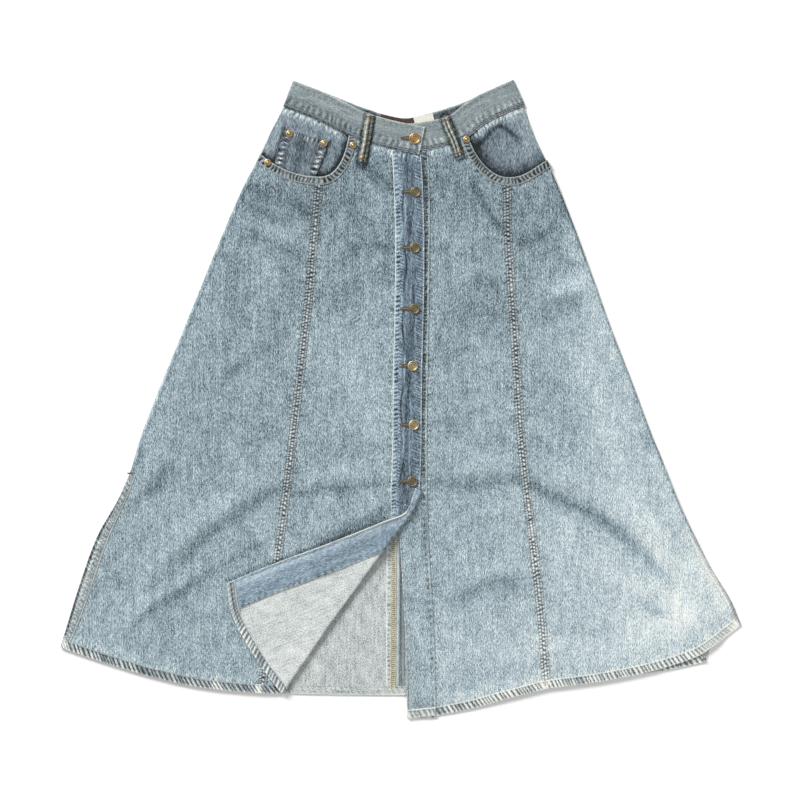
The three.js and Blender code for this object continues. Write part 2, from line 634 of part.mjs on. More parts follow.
/** The left centre panel, with the edge that carries the buttons. */
function leftCentrePanel() {
  const top = onSeam(SEAM_FRONT_LEFT, -2);
  const seamSide = [...along(leftMouthInner, MOUTH_ROWS), ...aside(leftSeam, -SEAM_GAP / 2)];
  const edge = along(lineDown("underlap", top, HEM_LEFT[0]), distances(seamSide));
  const points = plan({
    left: edge,
    right: seamSide,
    top: lineAcross(SEAM_FRONT_LEFT, -2, LEFT_POCKET.waistX),
    bottom: lineAcross(HEM_LEFT, HEM_LEFT[0].x, 218.5 - SEAM_GAP / 2),
    columns: (width) => shares(width, [0, 21, PLACKET_WIDTH, PLACKET_WIDTH + 2], [0, HALF_SEAM, POCKET_BAND], 5),
  });
  const wall = (row, column) => {
    if (column <= 2) return DOUBLE_CLOTH;
    return isHemRow(points, row) ? HEM_CLOTH : CLOTH;
  };
  const sheet = Sheet.over(points, panelFloor, wall);
  piece("front_left_centre_panel", sheet.geometry(), DENIM);
  return sheet;
}
const leftCentreSheet = leftCentrePanel();

/** The points round a turn in the cloth, from the top of the lower layer to the foot of the upper one. */
function turn(foldPoint, outward, lowerZ, upperZ) {
  const radius = (upperZ - lowerZ) / 2;
  return Array.from({ length: TURN_STEPS - 1 }, (_, i) => {
    const angle = (Math.PI * (i + 1)) / TURN_STEPS;
    const p = foldPoint.clone().addScaledVector(outward, radius * Math.sin(angle));
    return p.setZ(lowerZ + radius * (1 - Math.cos(angle)));
  });
}

/** The right centre panel, with the buttonholes, and its lower corner turned back in the same piece. */
function rightCentrePanel() {
  const top = onSeam(SEAM_FRONT_RIGHT, 30);
  const mouth = along(rightMouthInner, MOUTH_ROWS.map((share) => 1 - share));
  const seamSide = [...mouth, ...aside(rightSeam, SEAM_GAP / 2)];
  const reach = distances(seamSide);
  const turnY = FOLD_LINE[0].y;
  const apexRow = seamSide.findIndex((p) => p.y < turnY + 22);
  const above = reach.slice(0, apexRow + 1).map((share) => share / reach[apexRow]);
  const below = reach.slice(apexRow).map((share) => (share - reach[apexRow]) / (1 - reach[apexRow]));
  const edge = along(lineDown("overlap", top, FOLD_LINE[0]), above);
  const fold = along(curveThrough(FOLD_LINE), below);
  const points = plan({
    left: seamSide,
    right: [...edge, ...withoutStart(fold)],
    top: lineAcross(SEAM_FRONT_RIGHT, RIGHT_POCKET.waistX, 30),
    bottom: lineAcross(HEM_RIGHT, -209.5 + SEAM_GAP / 2, last(FOLD_LINE).x),
    columns: (width) => shares(width, [0, HALF_SEAM, POCKET_BAND], [0, 21, PLACKET_WIDTH, PLACKET_WIDTH + 2], 5),
  });
  const placketColumn = points[0].length - 3;
  const edgeColumn = points[0].length - 1;
  const wall = (row, column) => {
    if (row < apexRow && column >= placketColumn && column <= edgeColumn) return DOUBLE_CLOTH;
    return isHemRow(points, row) ? HEM_CLOTH : CLOTH;
  };
  const floor = (x, y) => panelFloor(x, y) + overlapLift(x);
  const sheet = Sheet.over(points, floor, wall);

  // The flap: its rows start on the fold line and end on the buttonhole edge, the last one along the hem.
  const flapMiddle = (x, y) => floor(x, y) + CLOTH / 2 + 2 * TURN_RADIUS;
  const flapEdge = along(curveThrough(FLAP_EDGE), below);
  const flapTop = curveThrough([fold[0], flapEdge[0]]);
  const flap = plan({
    left: fold,
    right: flapEdge,
    top: flapTop,
    bottom: curveThrough([last(fold), ...FLAP_HEM.slice(1)]),
    columns: (width) => {
      const facing = Math.max(width - PLACKET_WIDTH, width * 0.12);
      const body = [0, 1, 2, 3].map((i) => (facing * i) / 4);
      const strip = [0, 1, 2, 3].map((i) => lerp(facing, width, i / 3));
      return [...body, ...strip].map((d) => d / width);
    },
  });
  flap.forEach((line, i) => {
    const row = apexRow + i;
    const foldPoint = sheet.point(row, edgeColumn);
    const ahead = fold[Math.min(i + 1, fold.length - 1)].clone().sub(fold[Math.max(i - 1, 0)]).normalize();
    const outward = at(-ahead.y, ahead.x);
    const lift = FLAP_EDGE_LIFT * Math.sin(Math.PI * Math.min(1, below[i] * 1.15));
    const raised = line.map((p, column) => {
      const share = column / (line.length - 1);
      return at(p.x, p.y, flapMiddle(p.x, p.y) + lift * share ** 3);
    });
    sheet.middle[row].push(...turn(foldPoint, outward, foldPoint.z, raised[0].z), ...raised);
  });
  const buttonholes = BUTTON_PLACES.slice(1).map(({ x, y }) => keyhole(x, y));
  const cloth = buttonholes.reduce((solid, hole) => solid.subtract(hole), toSolid(sheet.geometry()));
  piece("front_right_centre_panel", toGeometry(cloth), DENIM);
  return { sheet, apexRow, stripColumn: edgeColumn + TURN_STEPS + 4 };
}

/** A buttonhole's cutter: a slot towards the wearer's right with a round eye for the shank. */
function keyhole(x, y) {
  const { length, slot, eye } = BUTTONHOLE;
  const corner = Math.asin(slot / 2 / eye);
  const outline = new THREE.Shape();
  outline.absarc(0, 0, eye, -Math.PI + corner, Math.PI - corner);
  outline.lineTo(-length, slot / 2);
  outline.lineTo(-length, -slot / 2);
  const height = 20;
  const cutter = new THREE.ExtrudeGeometry(outline, { depth: height, bevelEnabled: false, curveSegments: 12 });
  return toSolid(cutter.translate(x, y, 0));
}
const rightCentre = rightCentrePanel();

/** The blue facing sewn inside the buttonhole edge, seen where the corner is turned back. */
function placketFacing({ sheet, apexRow, stripColumn }) {
  const lift = 2 * SEAM_GAP + CLOTH / 2;
  const rows = sheet.middle.slice(apexRow).map((line, i) =>
    line.slice(stripColumn).map((_, j) => sheet.face(apexRow + i, stripColumn + j, -1, lift)));
  piece("placket_facing", new Sheet(rows, CLOTH).geometry(), DARK_DENIM);
}
placketFacing(rightCentre);

/** A raised band on the panels: pairs of points on their outer faces, moved out. */
function bandOn(name, pairs, material = DENIM) {
  piece(name, new Sheet(pairs, BAND_CLOTH).geometry(), material);
}
const BAND_LIFT = SEAM_GAP + BAND_CLOTH / 2;

/** The felled ridge over a princess seam, from the pocket band to the hem. */
function princessSeam(name, leftSheet, rightSheet, leftColumns, rightColumns, rightFirstRow) {
  const rows = leftSheet.middle.map((_, row) => [
    ...leftColumns.map((column) => leftSheet.face(row, column, 1, BAND_LIFT)),
    ...rightColumns.map((column) => rightSheet.face(row + rightFirstRow, column, 1, BAND_LIFT)),
  ]);
  const start = rows[1].map((p, i) => p.clone().lerp(rows[2][i], 0.03));
  bandOn(name, [start, ...rows.slice(2)]);
}
const sideColumns = rightSidePanel.middle[0].length;
const firstSeamRow = MOUTH_ROWS.length;
const rightSeamPairs = { side: [sideColumns - 2, sideColumns - 1], centre: [0, 1] };
princessSeam("right_princess_seam", rightSidePanel, rightCentre.sheet, rightSeamPairs.side, rightSeamPairs.centre, firstSeamRow);

/** The left seam has its centre panel on the other side, so its rows are matched the other way. */
function leftPrincessSeam() {
  const lastColumn = leftCentreSheet.middle[0].length - 1;
  const rows = leftSidePanel.middle.map((_, row) => [
    leftCentreSheet.face(row + firstSeamRow, lastColumn - 1, 1, BAND_LIFT),
    leftCentreSheet.face(row + firstSeamRow, lastColumn, 1, BAND_LIFT),
    leftSidePanel.face(row, 0, 1, BAND_LIFT),
    leftSidePanel.face(row, 1, 1, BAND_LIFT),
  ]);
  const start = rows[1].map((p, i) => p.clone().lerp(rows[2][i], 0.03));
  bandOn("left_princess_seam", [start, ...rows.slice(2)]);
}
leftPrincessSeam();

/** The turned edge round the right pocket's mouth, on the side panel and then on the centre panel. */
function rightPocketEdge() {
  const lift = (sheet, row, column) => sheet.face(row, column, 1, BAND_LIFT + SEAM_GAP);
  const centre = rightCentre.sheet;
  const onSide = rightSidePanel.middle[0].map((_, column) => [lift(rightSidePanel, 0, column), lift(rightSidePanel, 1, column)]);
  const corner = [lift(centre, firstSeamRow, 0), lift(centre, firstSeamRow + 1, 2)];
  const onCentre = [3, 2, 1, 0].map((row) => [lift(centre, row, 0), lift(centre, row, 2)]);
  bandOn("right_pocket_edge", turned([...onSide, corner, ...onCentre]));
}

/** The turned edge round the left pocket's mouth. */
function leftPocketEdge() {
  const lift = (sheet, row, column) => sheet.face(row, column, 1, BAND_LIFT + SEAM_GAP);
  const lastColumn = leftCentreSheet.middle[0].length - 1;
  const onCentre = [0, 1, 2, 3].map((row) => [lift(leftCentreSheet, row, lastColumn), lift(leftCentreSheet, row, lastColumn - 2)]);
  const corner = [lift(leftCentreSheet, firstSeamRow, lastColumn), lift(leftCentreSheet, firstSeamRow + 1, lastColumn - 2)];
  const onSide = leftSidePanel.middle[0].map((_, column) => [lift(leftSidePanel, 0, column), lift(leftSidePanel, 1, column)]);
  bandOn("left_pocket_edge", turned([...onCentre, corner, ...onSide]));
}

/** Pairs of points as the two rows of a band, so that its outer face is up. */
const turned = (pairs) => [0, 1].map((side) => pairs.map((pair) => pair[side]));
rightPocketEdge();
leftPocketEdge();

// The waistband: one doubled strip, from its button end round the back to its buttonhole end.

/** The waistband's front lies on the back's, on the labels and, at its buttonhole end, on the other end. */
const waistFloor = (x, isRight) => DOUBLE_CLOTH + SEAM_GAP + labelLift(x) + (isRight ? overlapLift(x) : 0);

/** Sections of the waistband along a top edge: its top, its middle and its foot, at a height. */
function waistSections(table, steps, heightAt) {
  const curve = curveThrough(table);
  return Array.from({ length: steps + 1 }, (_, i) => {
    const top = curve.getPointAt(i / steps);
    const tangent = curve.getTangentAt(i / steps);
    const down = at(tangent.y, -tangent.x);
    const z = heightAt(top.x);
    return [0, 0.5, 1].map((share) => top.clone().addScaledVector(down, share * WAISTBAND_DEPTH).setZ(z));
  });
}

/** Sections round a side fold, from one layer's section to the other's. */
function waistTurn(section, toZ, outwardX) {
  const fromZ = section[0].z;
  const down = last(section).clone().sub(section[0]).normalize();
  const outward = at(-down.y, down.x).multiplyScalar(Math.sign(-down.y * outwardX));
  const radius = Math.abs(toZ - fromZ) / 2;
  return Array.from({ length: TURN_STEPS - 1 }, (_, i) => {
    const angle = (Math.PI * (i + 1)) / TURN_STEPS;
    const z = lerp(fromZ, toZ, (1 - Math.cos(angle)) / 2);
    return section.map((p) => p.clone().addScaledVector(outward, radius * Math.sin(angle)).setZ(z));
  });
}

function waistband() {
  const half = DOUBLE_CLOTH / 2;
  const frontLeft = waistSections(WAIST_FRONT_LEFT, 14, (x) => waistFloor(x, false) + half);
  const back = waistSections(WAIST_BACK, 16, () => half).reverse();
  const frontRight = waistSections(WAIST_FRONT_RIGHT, 14, (x) => waistFloor(x, true) + half);
  const sections = [
    ...frontLeft,
    ...waistTurn(last(frontLeft), half, 1),
    ...back,
    ...waistTurn(last(back), frontRight[0][0].z, -1),
    ...frontRight,
  ];
  const rows = [0, 1, 2].map((row) => sections.map((section) => section[row]));
  const { x, y } = BUTTON_PLACES[0];
  const buttonhole = keyhole(x, y).intersect(toSolid(aboveUnderlap(x, y)));
  const cloth = toSolid(new Sheet(rows, DOUBLE_CLOTH).geometry()).subtract(buttonhole);
  piece("waistband", toGeometry(cloth), DENIM);
}

/** The space round a waist button above the lower end of the waistband, which is not cut. */
function aboveUnderlap(x, y) {
  const size = 60;
  const bottom = waistFloor(x, false) + DOUBLE_CLOTH + SEAM_GAP / 2;
  return new THREE.BoxGeometry(size, size, size).translate(x, y, bottom + size / 2);
}
waistband();

/** A label sewn inside the back of the waistband, its top edge just under the band's. */
function innerLabel({ name, x0, x1, depth, colour }) {
  const top = WAIST_BACK.map(({ x, y }) => ({ x, y: y - 1.5 }));
  const line = lineAcross(top, x0, x1).getSpacedPoints(4);
  const rows = [line, line.map((p) => p.clone().add(at(0, -depth)))];
  const floor = () => DOUBLE_CLOTH + SEAM_GAP;
  const material = new THREE.MeshStandardMaterial({ name, color: colour, roughness: 0.8 });
  piece(name, Sheet.over(rows, floor, LABEL_THICKNESS).geometry(), material);
}
LABELS.forEach(innerLabel);

/** A belt loop over the waistband, doubled under at each end, where it is tacked down. */
function beltLoop({ name, x0, y0, x1, y1 }) {
  const steps = [0, 0.1, 0.13, 0.35, 0.6, 0.85, 0.88, 1];
  const centre = steps.map((t) => at(lerp(x0, x1, t), lerp(y0, y1, t)));
  const isRight = x0 < 0;
  const topZ = waistFloor(Math.max(x0, x1) + LOOP.width, isRight) + DOUBLE_CLOTH + SEAM_GAP;
  const footZ = panelFloor(x1, y1) + CLOTH + SEAM_GAP;
  const isEnd = (row) => row < 2 || row > steps.length - 3;
  const wall = (row) => (isEnd(row) ? LOOP.end : LOOP.thickness);
  const heights = steps.map((t) => Math.max(topZ, footZ) + LOOP.arch * Math.sin(Math.PI * t));
  const sheet = stripAlong(centre, LOOP.width, () => 0, wall);
  sheet.middle.forEach((line, row) => line.forEach((p) => p.setZ(heights[row] + LOOP.end / 2)));
  piece(name, sheet.geometry(), DENIM);
}
BELT_LOOPS.forEach(beltLoop);

// Hardware.

/** A turned part standing on the plane z = 0, from its profile as radius and height pairs. */
function turnedPart(profile) {
  const points = profile.map(([radius, height]) => new THREE.Vector2(radius, height));
  return new THREE.LatheGeometry(points, ROUND_STEPS).rotateX(Math.PI / 2);
}

/** A tack button: a shank through the buttonhole, and a dished head with a raised rim. */
function button({ name, x, y }) {
  const isWaist = name === "waist_button";
  const radius = isWaist ? WAIST_BUTTON_RADIUS : BUTTON_RADIUS;
  const underlap = (isWaist ? waistFloor(x, false) : panelFloor(x, y)) + DOUBLE_CLOTH;
  const shank = DOUBLE_CLOTH + 2 * SEAM_GAP + 0.3;
  const profile = [
    [0, 0],
    [SHANK_RADIUS, 0],
    [SHANK_RADIUS, shank],
    [radius - 0.9, shank + 0.2],
    [radius, shank + 1.0],
    [radius - 0.4, shank + 2.0],
    [radius - 1.8, shank + 2.2],
    [radius - 2.6, shank + 1.6],
    [0, shank + 1.9],
  ];
  piece(name, turnedPart(profile).translate(x, y, underlap + SEAM_GAP), ANTIQUE_BRASS);
}
BUTTON_PLACES.forEach(button);

/** A domed rivet cap with a point at its middle. */
function rivet({ name, x, y, on }) {
  const pocketEdgeTop = panelFloor(x, y) + CLOTH + 2 * SEAM_GAP + BAND_CLOTH;
  const coinPocketTop = coinFloor(x, y) + CLOTH + 0.5;
  const seat = on === "coinPocket" ? coinPocketTop : pocketEdgeTop;
  const profile = [
    [0, 0],
    [RIVET_RADIUS, 0],
    [RIVET_RADIUS, 0.5],
    [RIVET_RADIUS - 1.2, 1.3],
    [1.9, 1.5],
    [1.2, 2.1],
    [0, 2.2],
  ];
  piece(name, turnedPart(profile).translate(x, y, seat + 2 * SEAM_GAP), ANTIQUE_BRASS);
}
RIVET_PLACES.forEach(rivet);

export default skirt;
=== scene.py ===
import logging
import math
from collections.abc import Callable, Sequence
from dataclasses import dataclass, field
from enum import Enum

import bpy
import numpy as np
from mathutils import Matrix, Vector


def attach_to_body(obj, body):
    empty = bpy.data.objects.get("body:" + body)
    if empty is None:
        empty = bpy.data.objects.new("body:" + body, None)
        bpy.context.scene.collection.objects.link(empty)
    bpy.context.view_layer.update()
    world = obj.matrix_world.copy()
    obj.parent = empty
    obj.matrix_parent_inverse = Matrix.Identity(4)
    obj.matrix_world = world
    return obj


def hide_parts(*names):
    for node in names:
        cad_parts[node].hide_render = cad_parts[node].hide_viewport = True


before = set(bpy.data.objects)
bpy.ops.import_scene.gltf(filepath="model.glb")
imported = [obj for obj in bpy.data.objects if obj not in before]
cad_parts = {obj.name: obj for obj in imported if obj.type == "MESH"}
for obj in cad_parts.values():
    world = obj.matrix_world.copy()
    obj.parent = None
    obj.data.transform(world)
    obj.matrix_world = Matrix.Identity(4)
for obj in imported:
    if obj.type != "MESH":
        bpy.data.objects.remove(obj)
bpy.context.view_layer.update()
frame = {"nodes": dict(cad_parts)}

LOG = logging.getLogger("skirt")
MM = 0.001
Array = np.ndarray
Place = tuple[float, float]
Points = Sequence[Place]
Stops = Sequence[tuple[float, str]]
Height = Callable[[Array, Array], Array]
Pattern = Callable[[Array, Array], tuple[Array, Array]]

# Lines of the laid-out skirt in plan, in millimetres: +x is the wearer's left, +y is towards the waist.
SIDE_RIGHT = [(-176.5, 438), (-193, 405), (-201, 385), (-225, 340), (-245, 300), (-266.5, 250), (-295, 180),
              (-324, 110), (-356, 30), (-388, -50), (-406.5, -110), (-422.5, -150), (-445.5, -200), (-464, -250),
              (-481, -300), (-496, -340), (-511, -372)]
SIDE_LEFT = [(186, 440), (196.5, 405), (204, 385), (227, 340), (244, 300), (263.5, 250), (289, 180), (314, 110),
             (345, 30), (375, -50), (399, -110), (415, -150), (438, -200), (463.5, -250), (494, -300), (510.5, -339)]
SEAM_RIGHT = [(-122, 333.5), (-125, 300), (-130, 250), (-135.5, 180), (-143, 110), (-152, 30), (-161.5, -50),
              (-168.5, -110), (-173.5, -150), (-180, -200), (-186.5, -250), (-192.5, -300), (-197.5, -340),
              (-203, -385), (-209.5, -440.5)]
SEAM_LEFT = [(159.5, 333), (159.5, 300), (160.5, 250), (164.5, 180), (169.5, 110), (174.5, 30), (179.5, -50),
             (185.5, -110), (190, -150), (196.5, -200), (202.5, -250), (208, -300), (212, -340), (215, -385),
             (218.5, -434)]
OVERLAP_EDGE = [(30, 367), (32, 340), (33.5, 300), (35, 250), (35, 180), (33.5, 110), (31.5, 30), (31, -50),
                (29.5, -110), (28, -136)]
UNDERLAP_EDGE = [(-2, 368), (-1, 340), (0.5, 300), (0.5, 250), (-0.5, 180), (-1.5, 110), (-3, 30), (-4, -50),
                 (-4, -110), (-3.5, -150), (-2, -200), (1, -250), (4, -300), (6, -340), (8, -385), (10, -479)]
BACK_SIDE_RIGHT = [(-176.5, 438), (-193, 405), (-225, 340), (-266.5, 250), (-324, 110), (-388, -50), (-406.5, -110),
                   (-424, -150), (-455, -205), (-482.5, -280), (-498, -330), (-509, -366)]
BACK_SIDE_LEFT = [(186, 440), (196.5, 405), (227, 340), (263.5, 250), (314, 110), (375, -50), (393.5, -94),
                  (408, -150), (424, -205), (444, -280), (455, -330), (464, -372), (457.5, -394)]
HEM_RIGHT = [(-511, -372), (-451, -392.5), (-377, -415), (-302, -431.5), (-209.5, -440.5), (-179.5, -440.5)]
HEM_LEFT = [(10, -479), (51.5, -475), (104, -464.5), (155, -450.5), (218.5, -434), (303.5, -422.5), (392, -403.5),
            (450, -383), (468, -371), (510.5, -339)]
HEM_BACK = [(-509, -366), (-451, -389), (-377, -410.5), (-302, -428), (-209.5, -439), (-91, -443), (74, -442.5),
            (149, -437), (303.5, -417.5), (392, -407.5), (457.5, -394)]
WAIST_FRONT_RIGHT = [(-158.5, 477.5), (-103.5, 455.5), (-57.5, 432.5), (-16, 419), (36, 408)]
WAIST_FRONT_LEFT = [(-2, 412), (38, 416.5), (73.5, 426), (96, 443.5), (119, 457), (166, 478.5)]
WAIST_BACK = [(-158.5, 477.5), (-103.5, 456.5), (-67, 442), (-29.5, 429), (8, 422), (44, 429.5), (96.5, 446.5),
              (119, 457.5), (166, 478.5)]
BACK_CENTRE = [(4, 380), (-4, 149), (-10, -76), (-13, -442)]
FOLD_LINE = [(28, -136), (12, -169), (-4, -191), (-54, -262), (-94.5, -317.5), (-120, -353.5), (-179.5, -440.5)]
FLAP_EDGE = [(22, -133), (9, -167.5), (-28, -184), (-105.5, -215), (-195.5, -248.5), (-260.5, -275.5)]
FLAP_HEM = [(-179.5, -440.5), (-214, -393.5), (-252.5, -323.5), (-260.5, -275.5)]
BUTTONS = [(21, 391), (22, 311), (21, 227), (20.5, 135.5), (18, 50), (19.5, -38.5), (17.5, -123)]

# Cloth and sewn widths, in millimetres.
CLOTH = 1.5
DOUBLE_CLOTH = 3.0
BAND_CLOTH = 1.0
GAP = 0.3
LAYER = CLOTH + GAP
HEM_DEPTH = 13.0
PLACKET = 43.0
POCKET_BAND = 12.0
FELLED_SEAM = 12.0
WAISTBAND_DEPTH = 42.0
TURN_RADIUS = 2.25
NEAR_EDGE = (0.0, 1.5, 3.0, 5.0, 7.0, 9.5, 12.5)
# How far thread stands over the cloth, and the gap that cloth notes where no seam is near.
THREAD_LIFT = 0.1
FAR = 500.0


def smoothstep(value: Array | float, low: float, high: float) -> Array:
    """An eased step from 0 at low to 1 at high."""
    t = np.clip((np.asarray(value, float) - low) / (high - low), 0, 1)
    return t * t * (3 - 2 * t)


def hump(value: Array, at: Array | float, width: Array | float) -> Array:
    """A soft hump of height 1, where the value passes a place."""
    return np.exp(-(((value - at) / width) ** 2))


def reach_of(points: Array) -> Array:
    """How far along a row of points each of them is."""
    return np.concatenate([[0], np.cumsum(np.linalg.norm(np.diff(points, axis=0), axis=1))])


def linear(code: str) -> tuple[float, float, float, float]:
    """Turns an sRGB hex colour to linear.

    Args:
        code: the colour as #rrggbb.

    Returns:
        Linear red, green, blue and an alpha of 1.
    """
    parts = [int(code[i:i + 2], 16) / 255 for i in (1, 3, 5)]
    red, green, blue = (p / 12.92 if p <= 0.04045 else ((p + 0.055) / 1.055) ** 2.4 for p in parts)
    return red, green, blue, 1.0


@dataclass(frozen=True)
class Line:
    """A smooth line in plan, kept as closely spaced points in millimetres."""

    dense: Array

    @classmethod
    def through(cls, points: Points, per_span: int = 24) -> "Line":
        """A centripetal spline through points.

        Args:
            points: the places that it passes through.
            per_span: how many points to keep between two places.

        Returns:
            The line.
        """
        p = np.asarray(points, float)
        p = np.vstack([2 * p[0] - p[1], p, 2 * p[-1] - p[-2]])
        spans = []
        for p0, p1, p2, p3 in zip(p, p[1:], p[2:], p[3:]):
            t = np.cumsum([0.0] + [float(np.linalg.norm(b - a)) ** 0.5 for a, b in ((p0, p1), (p1, p2), (p2, p3))])
            s = np.linspace(t[1], t[2], per_span, endpoint=False)[:, None]

            def mix(a: Array, b: Array, t0: float, t1: float, s: Array = s) -> Array:
                """The point between a and b at s."""
                return (t1 - s) / (t1 - t0) * a + (s - t0) / (t1 - t0) * b

            a1, a2, a3 = mix(p0, p1, t[0], t[1]), mix(p1, p2, t[1], t[2]), mix(p2, p3, t[2], t[3])
            b1, b2 = mix(a1, a2, t[0], t[2]), mix(a2, a3, t[1], t[3])
            spans.append(mix(b1, b2, t[1], t[2]))
        return cls(np.vstack([*spans, p[-2][None]]))

    @classmethod
    def bezier(cls, start: tuple, pull_0: tuple, pull_1: tuple, end: tuple) -> "Line":
        """A rounded line from start to end, pulled towards two points.

        Args:
            start: where it begins.
            pull_0: what it leaves towards.
            pull_1: what it arrives from.
            end: where it ends.

        Returns:
            The line.
        """
        t = np.linspace(0, 1, 60)[:, None]
        a, b, c, d = (np.asarray(p, float) for p in (start, pull_0, pull_1, end))
        return cls((1 - t) ** 3 * a + 3 * (1 - t) ** 2 * t * b + 3 * (1 - t) * t * t * c + t ** 3 * d)

    @classmethod
    def joined(cls, *lines: "Line") -> "Line":
        """Lines end to end as one."""
        return cls(np.vstack([lines[0].dense] + [line.dense[1:] for line in lines[1:]]))

    @property
    def reach(self) -> Array:
        """How far along the line each of its points is."""
        return reach_of(self.dense)

    @property
    def length(self) -> float:
        """The length in millimetres."""
        return float(self.reach[-1])

    def at(self, shares: Array) -> Array:
        """The points at shares of the length.

        Args:
            shares: shares of the length, from 0 to 1.

        Returns:
            A point for each share.
        """
        reach = self.reach
        wanted = np.asarray(shares, float) * reach[-1]
        return np.stack([np.interp(wanted, reach, self.dense[:, k]) for k in (0, 1)], -1)

    def part(self, start: float, end: float) -> "Line":
        """The stretch from start to end, which are distances along the line."""
        steps = max(8, int(abs(end - start) / 2))
        return Line(self.at(np.linspace(start, end, steps) / self.length))

    def reversed(self) -> "Line":
        """The same line from its other end."""
        return Line(self.dense[::-1])

    def moved(self, aside: float) -> "Line":
        """The line moved to its left by a distance."""
        return Line(self.dense + aside * left_of(self.dense))

    def nearest(self, x: Array, y: Array) -> tuple[Array, Array]:
        """Measures places against the line.

        Args:
            x: the places' x.
            y: the places' y.

        Returns:
            Each place's distance from the line, and how far along it the nearest point is.
        """
        steps = max(40, int(self.length / 2.2))
        shares = np.linspace(0, 1, steps)
        points = self.at(shares)
        near = ((x.ravel()[:, None] - points[:, 0]) ** 2 + (y.ravel()[:, None] - points[:, 1]) ** 2)
        index = near.argmin(1)
        distance = np.sqrt(near[np.arange(len(index)), index])
        return distance.reshape(x.shape), (shares[index] * self.length).reshape(x.shape)


def left_of(points: Array) -> Array:
    """The unit vectors that point to the left of the way that the points run."""
    ahead = np.gradient(points, axis=0)
    return np.stack([-ahead[..., 1], ahead[..., 0]], -1) / (np.linalg.norm(ahead, axis=-1, keepdims=True) + 1e-9)


def crossing(points: Points, y: Array) -> Array:
    """Where a line that runs down the garment crosses the levels y."""
    table = np.asarray(points, float)[::-1]
    return np.interp(y, table[:, 1], table[:, 0])


def level(points: Points, x: Array) -> Array:
    """The y of a line that runs across the garment, at the places x."""
    table = np.asarray(points, float)
    return np.interp(x, table[:, 0], table[:, 1])


def down_line(points: Points, start: Place, end: Place) -> Line:
    """The line through a table of points that runs down from start to end."""
    return Line.through([start, *[p for p in points if end[1] + 8 < p[1] < start[1] - 8], end])


def across_line(points: Points, x0: float, x1: float) -> Line:
    """The stretch of a line across the garment between two places x.

    Args:
        points: the line's table.
        x0: where it starts.
        x1: where it ends.

    Returns:
        The line.
    """
    inner = [p for p in points if min(x0, x1) + 4 < p[0] < max(x0, x1) - 4]
    ends = [(x, float(level(points, x))) for x in (x0, x1)]
    return Line.through([ends[0], *(inner if x0 < x1 else inner[::-1]), ends[1]])


def spread(width: Array, start: Sequence[float], end: Sequence[float], steps: int) -> Array:
    """Shares of each width: at fixed distances from its start and end, and in even steps between.

    Args:
        width: one width for each row.
        start: distances from the start, in millimetres.
        end: distances from the end.
        steps: how many steps to take between them.

    Returns:
        A row of shares for each width.
    """
    scale = np.minimum(1, width / ((start[-1] + end[-1]) * 1.3 + 1e-6))[:, None]
    first = np.asarray(start)[None] * scale
    final = width[:, None] - np.asarray(end)[::-1][None] * scale
    t = (np.arange(1, steps) / steps)[None]
    inner = first[:, -1:] * (1 - t) + final[:, :1] * t
    return np.hstack([first, inner, final]) / width[:, None]


def quilt(left: Array, right: Array, top: Line, bottom: Line, shares: Array) -> Array:
    """The plan of a four-sided piece of cloth, in rows from its top to its foot.

    Args:
        left: the start of each row.
        right: the end of each row.
        top: the first row's line.
        bottom: the last row's line.
        shares: each row's shares of its width.

    Returns:
        The points, by row and column.
    """
    steps = reach_of(left)
    down = (steps / steps[-1])[:, None, None]

    def bulge(line: Line) -> Array:
        """How far a line lies from the straight one between its ends, at the shares."""
        ends = line.dense[[0, -1]]
        return line.at(shares) - (ends[0] + (ends[1] - ends[0]) * shares[..., None])

    straight = left[:, None] + (right - left)[:, None] * shares[..., None]
    return straight + bulge(top) * (1 - down) + bulge(bottom) * down


def cut_out(left: Array, right: Array, top: Line, bottom: Line, columns: int) -> Array:
    """The plan of a four-sided piece of cloth, with its columns closer together beside its edges.

    Args:
        left: the start of each row.
        right: the end of each row.
        top: the first row's line.
        bottom: the last row's line.
        columns: how many columns lie between those beside the edges.

    Returns:
        The points, by row and column.
    """
    widths = np.linalg.norm(right - left, axis=1)
    return quilt(left, right, top, bottom, spread(widths, NEAR_EDGE, NEAR_EDGE, columns))


@dataclass(frozen=True)
class Ridge:
    """A soft fold in the laid-out cloth, from one place to another, with a bow at its middle."""

    x0: float
    y0: float
    x1: float
    y1: float
    bow: float
    width: float
    height: float


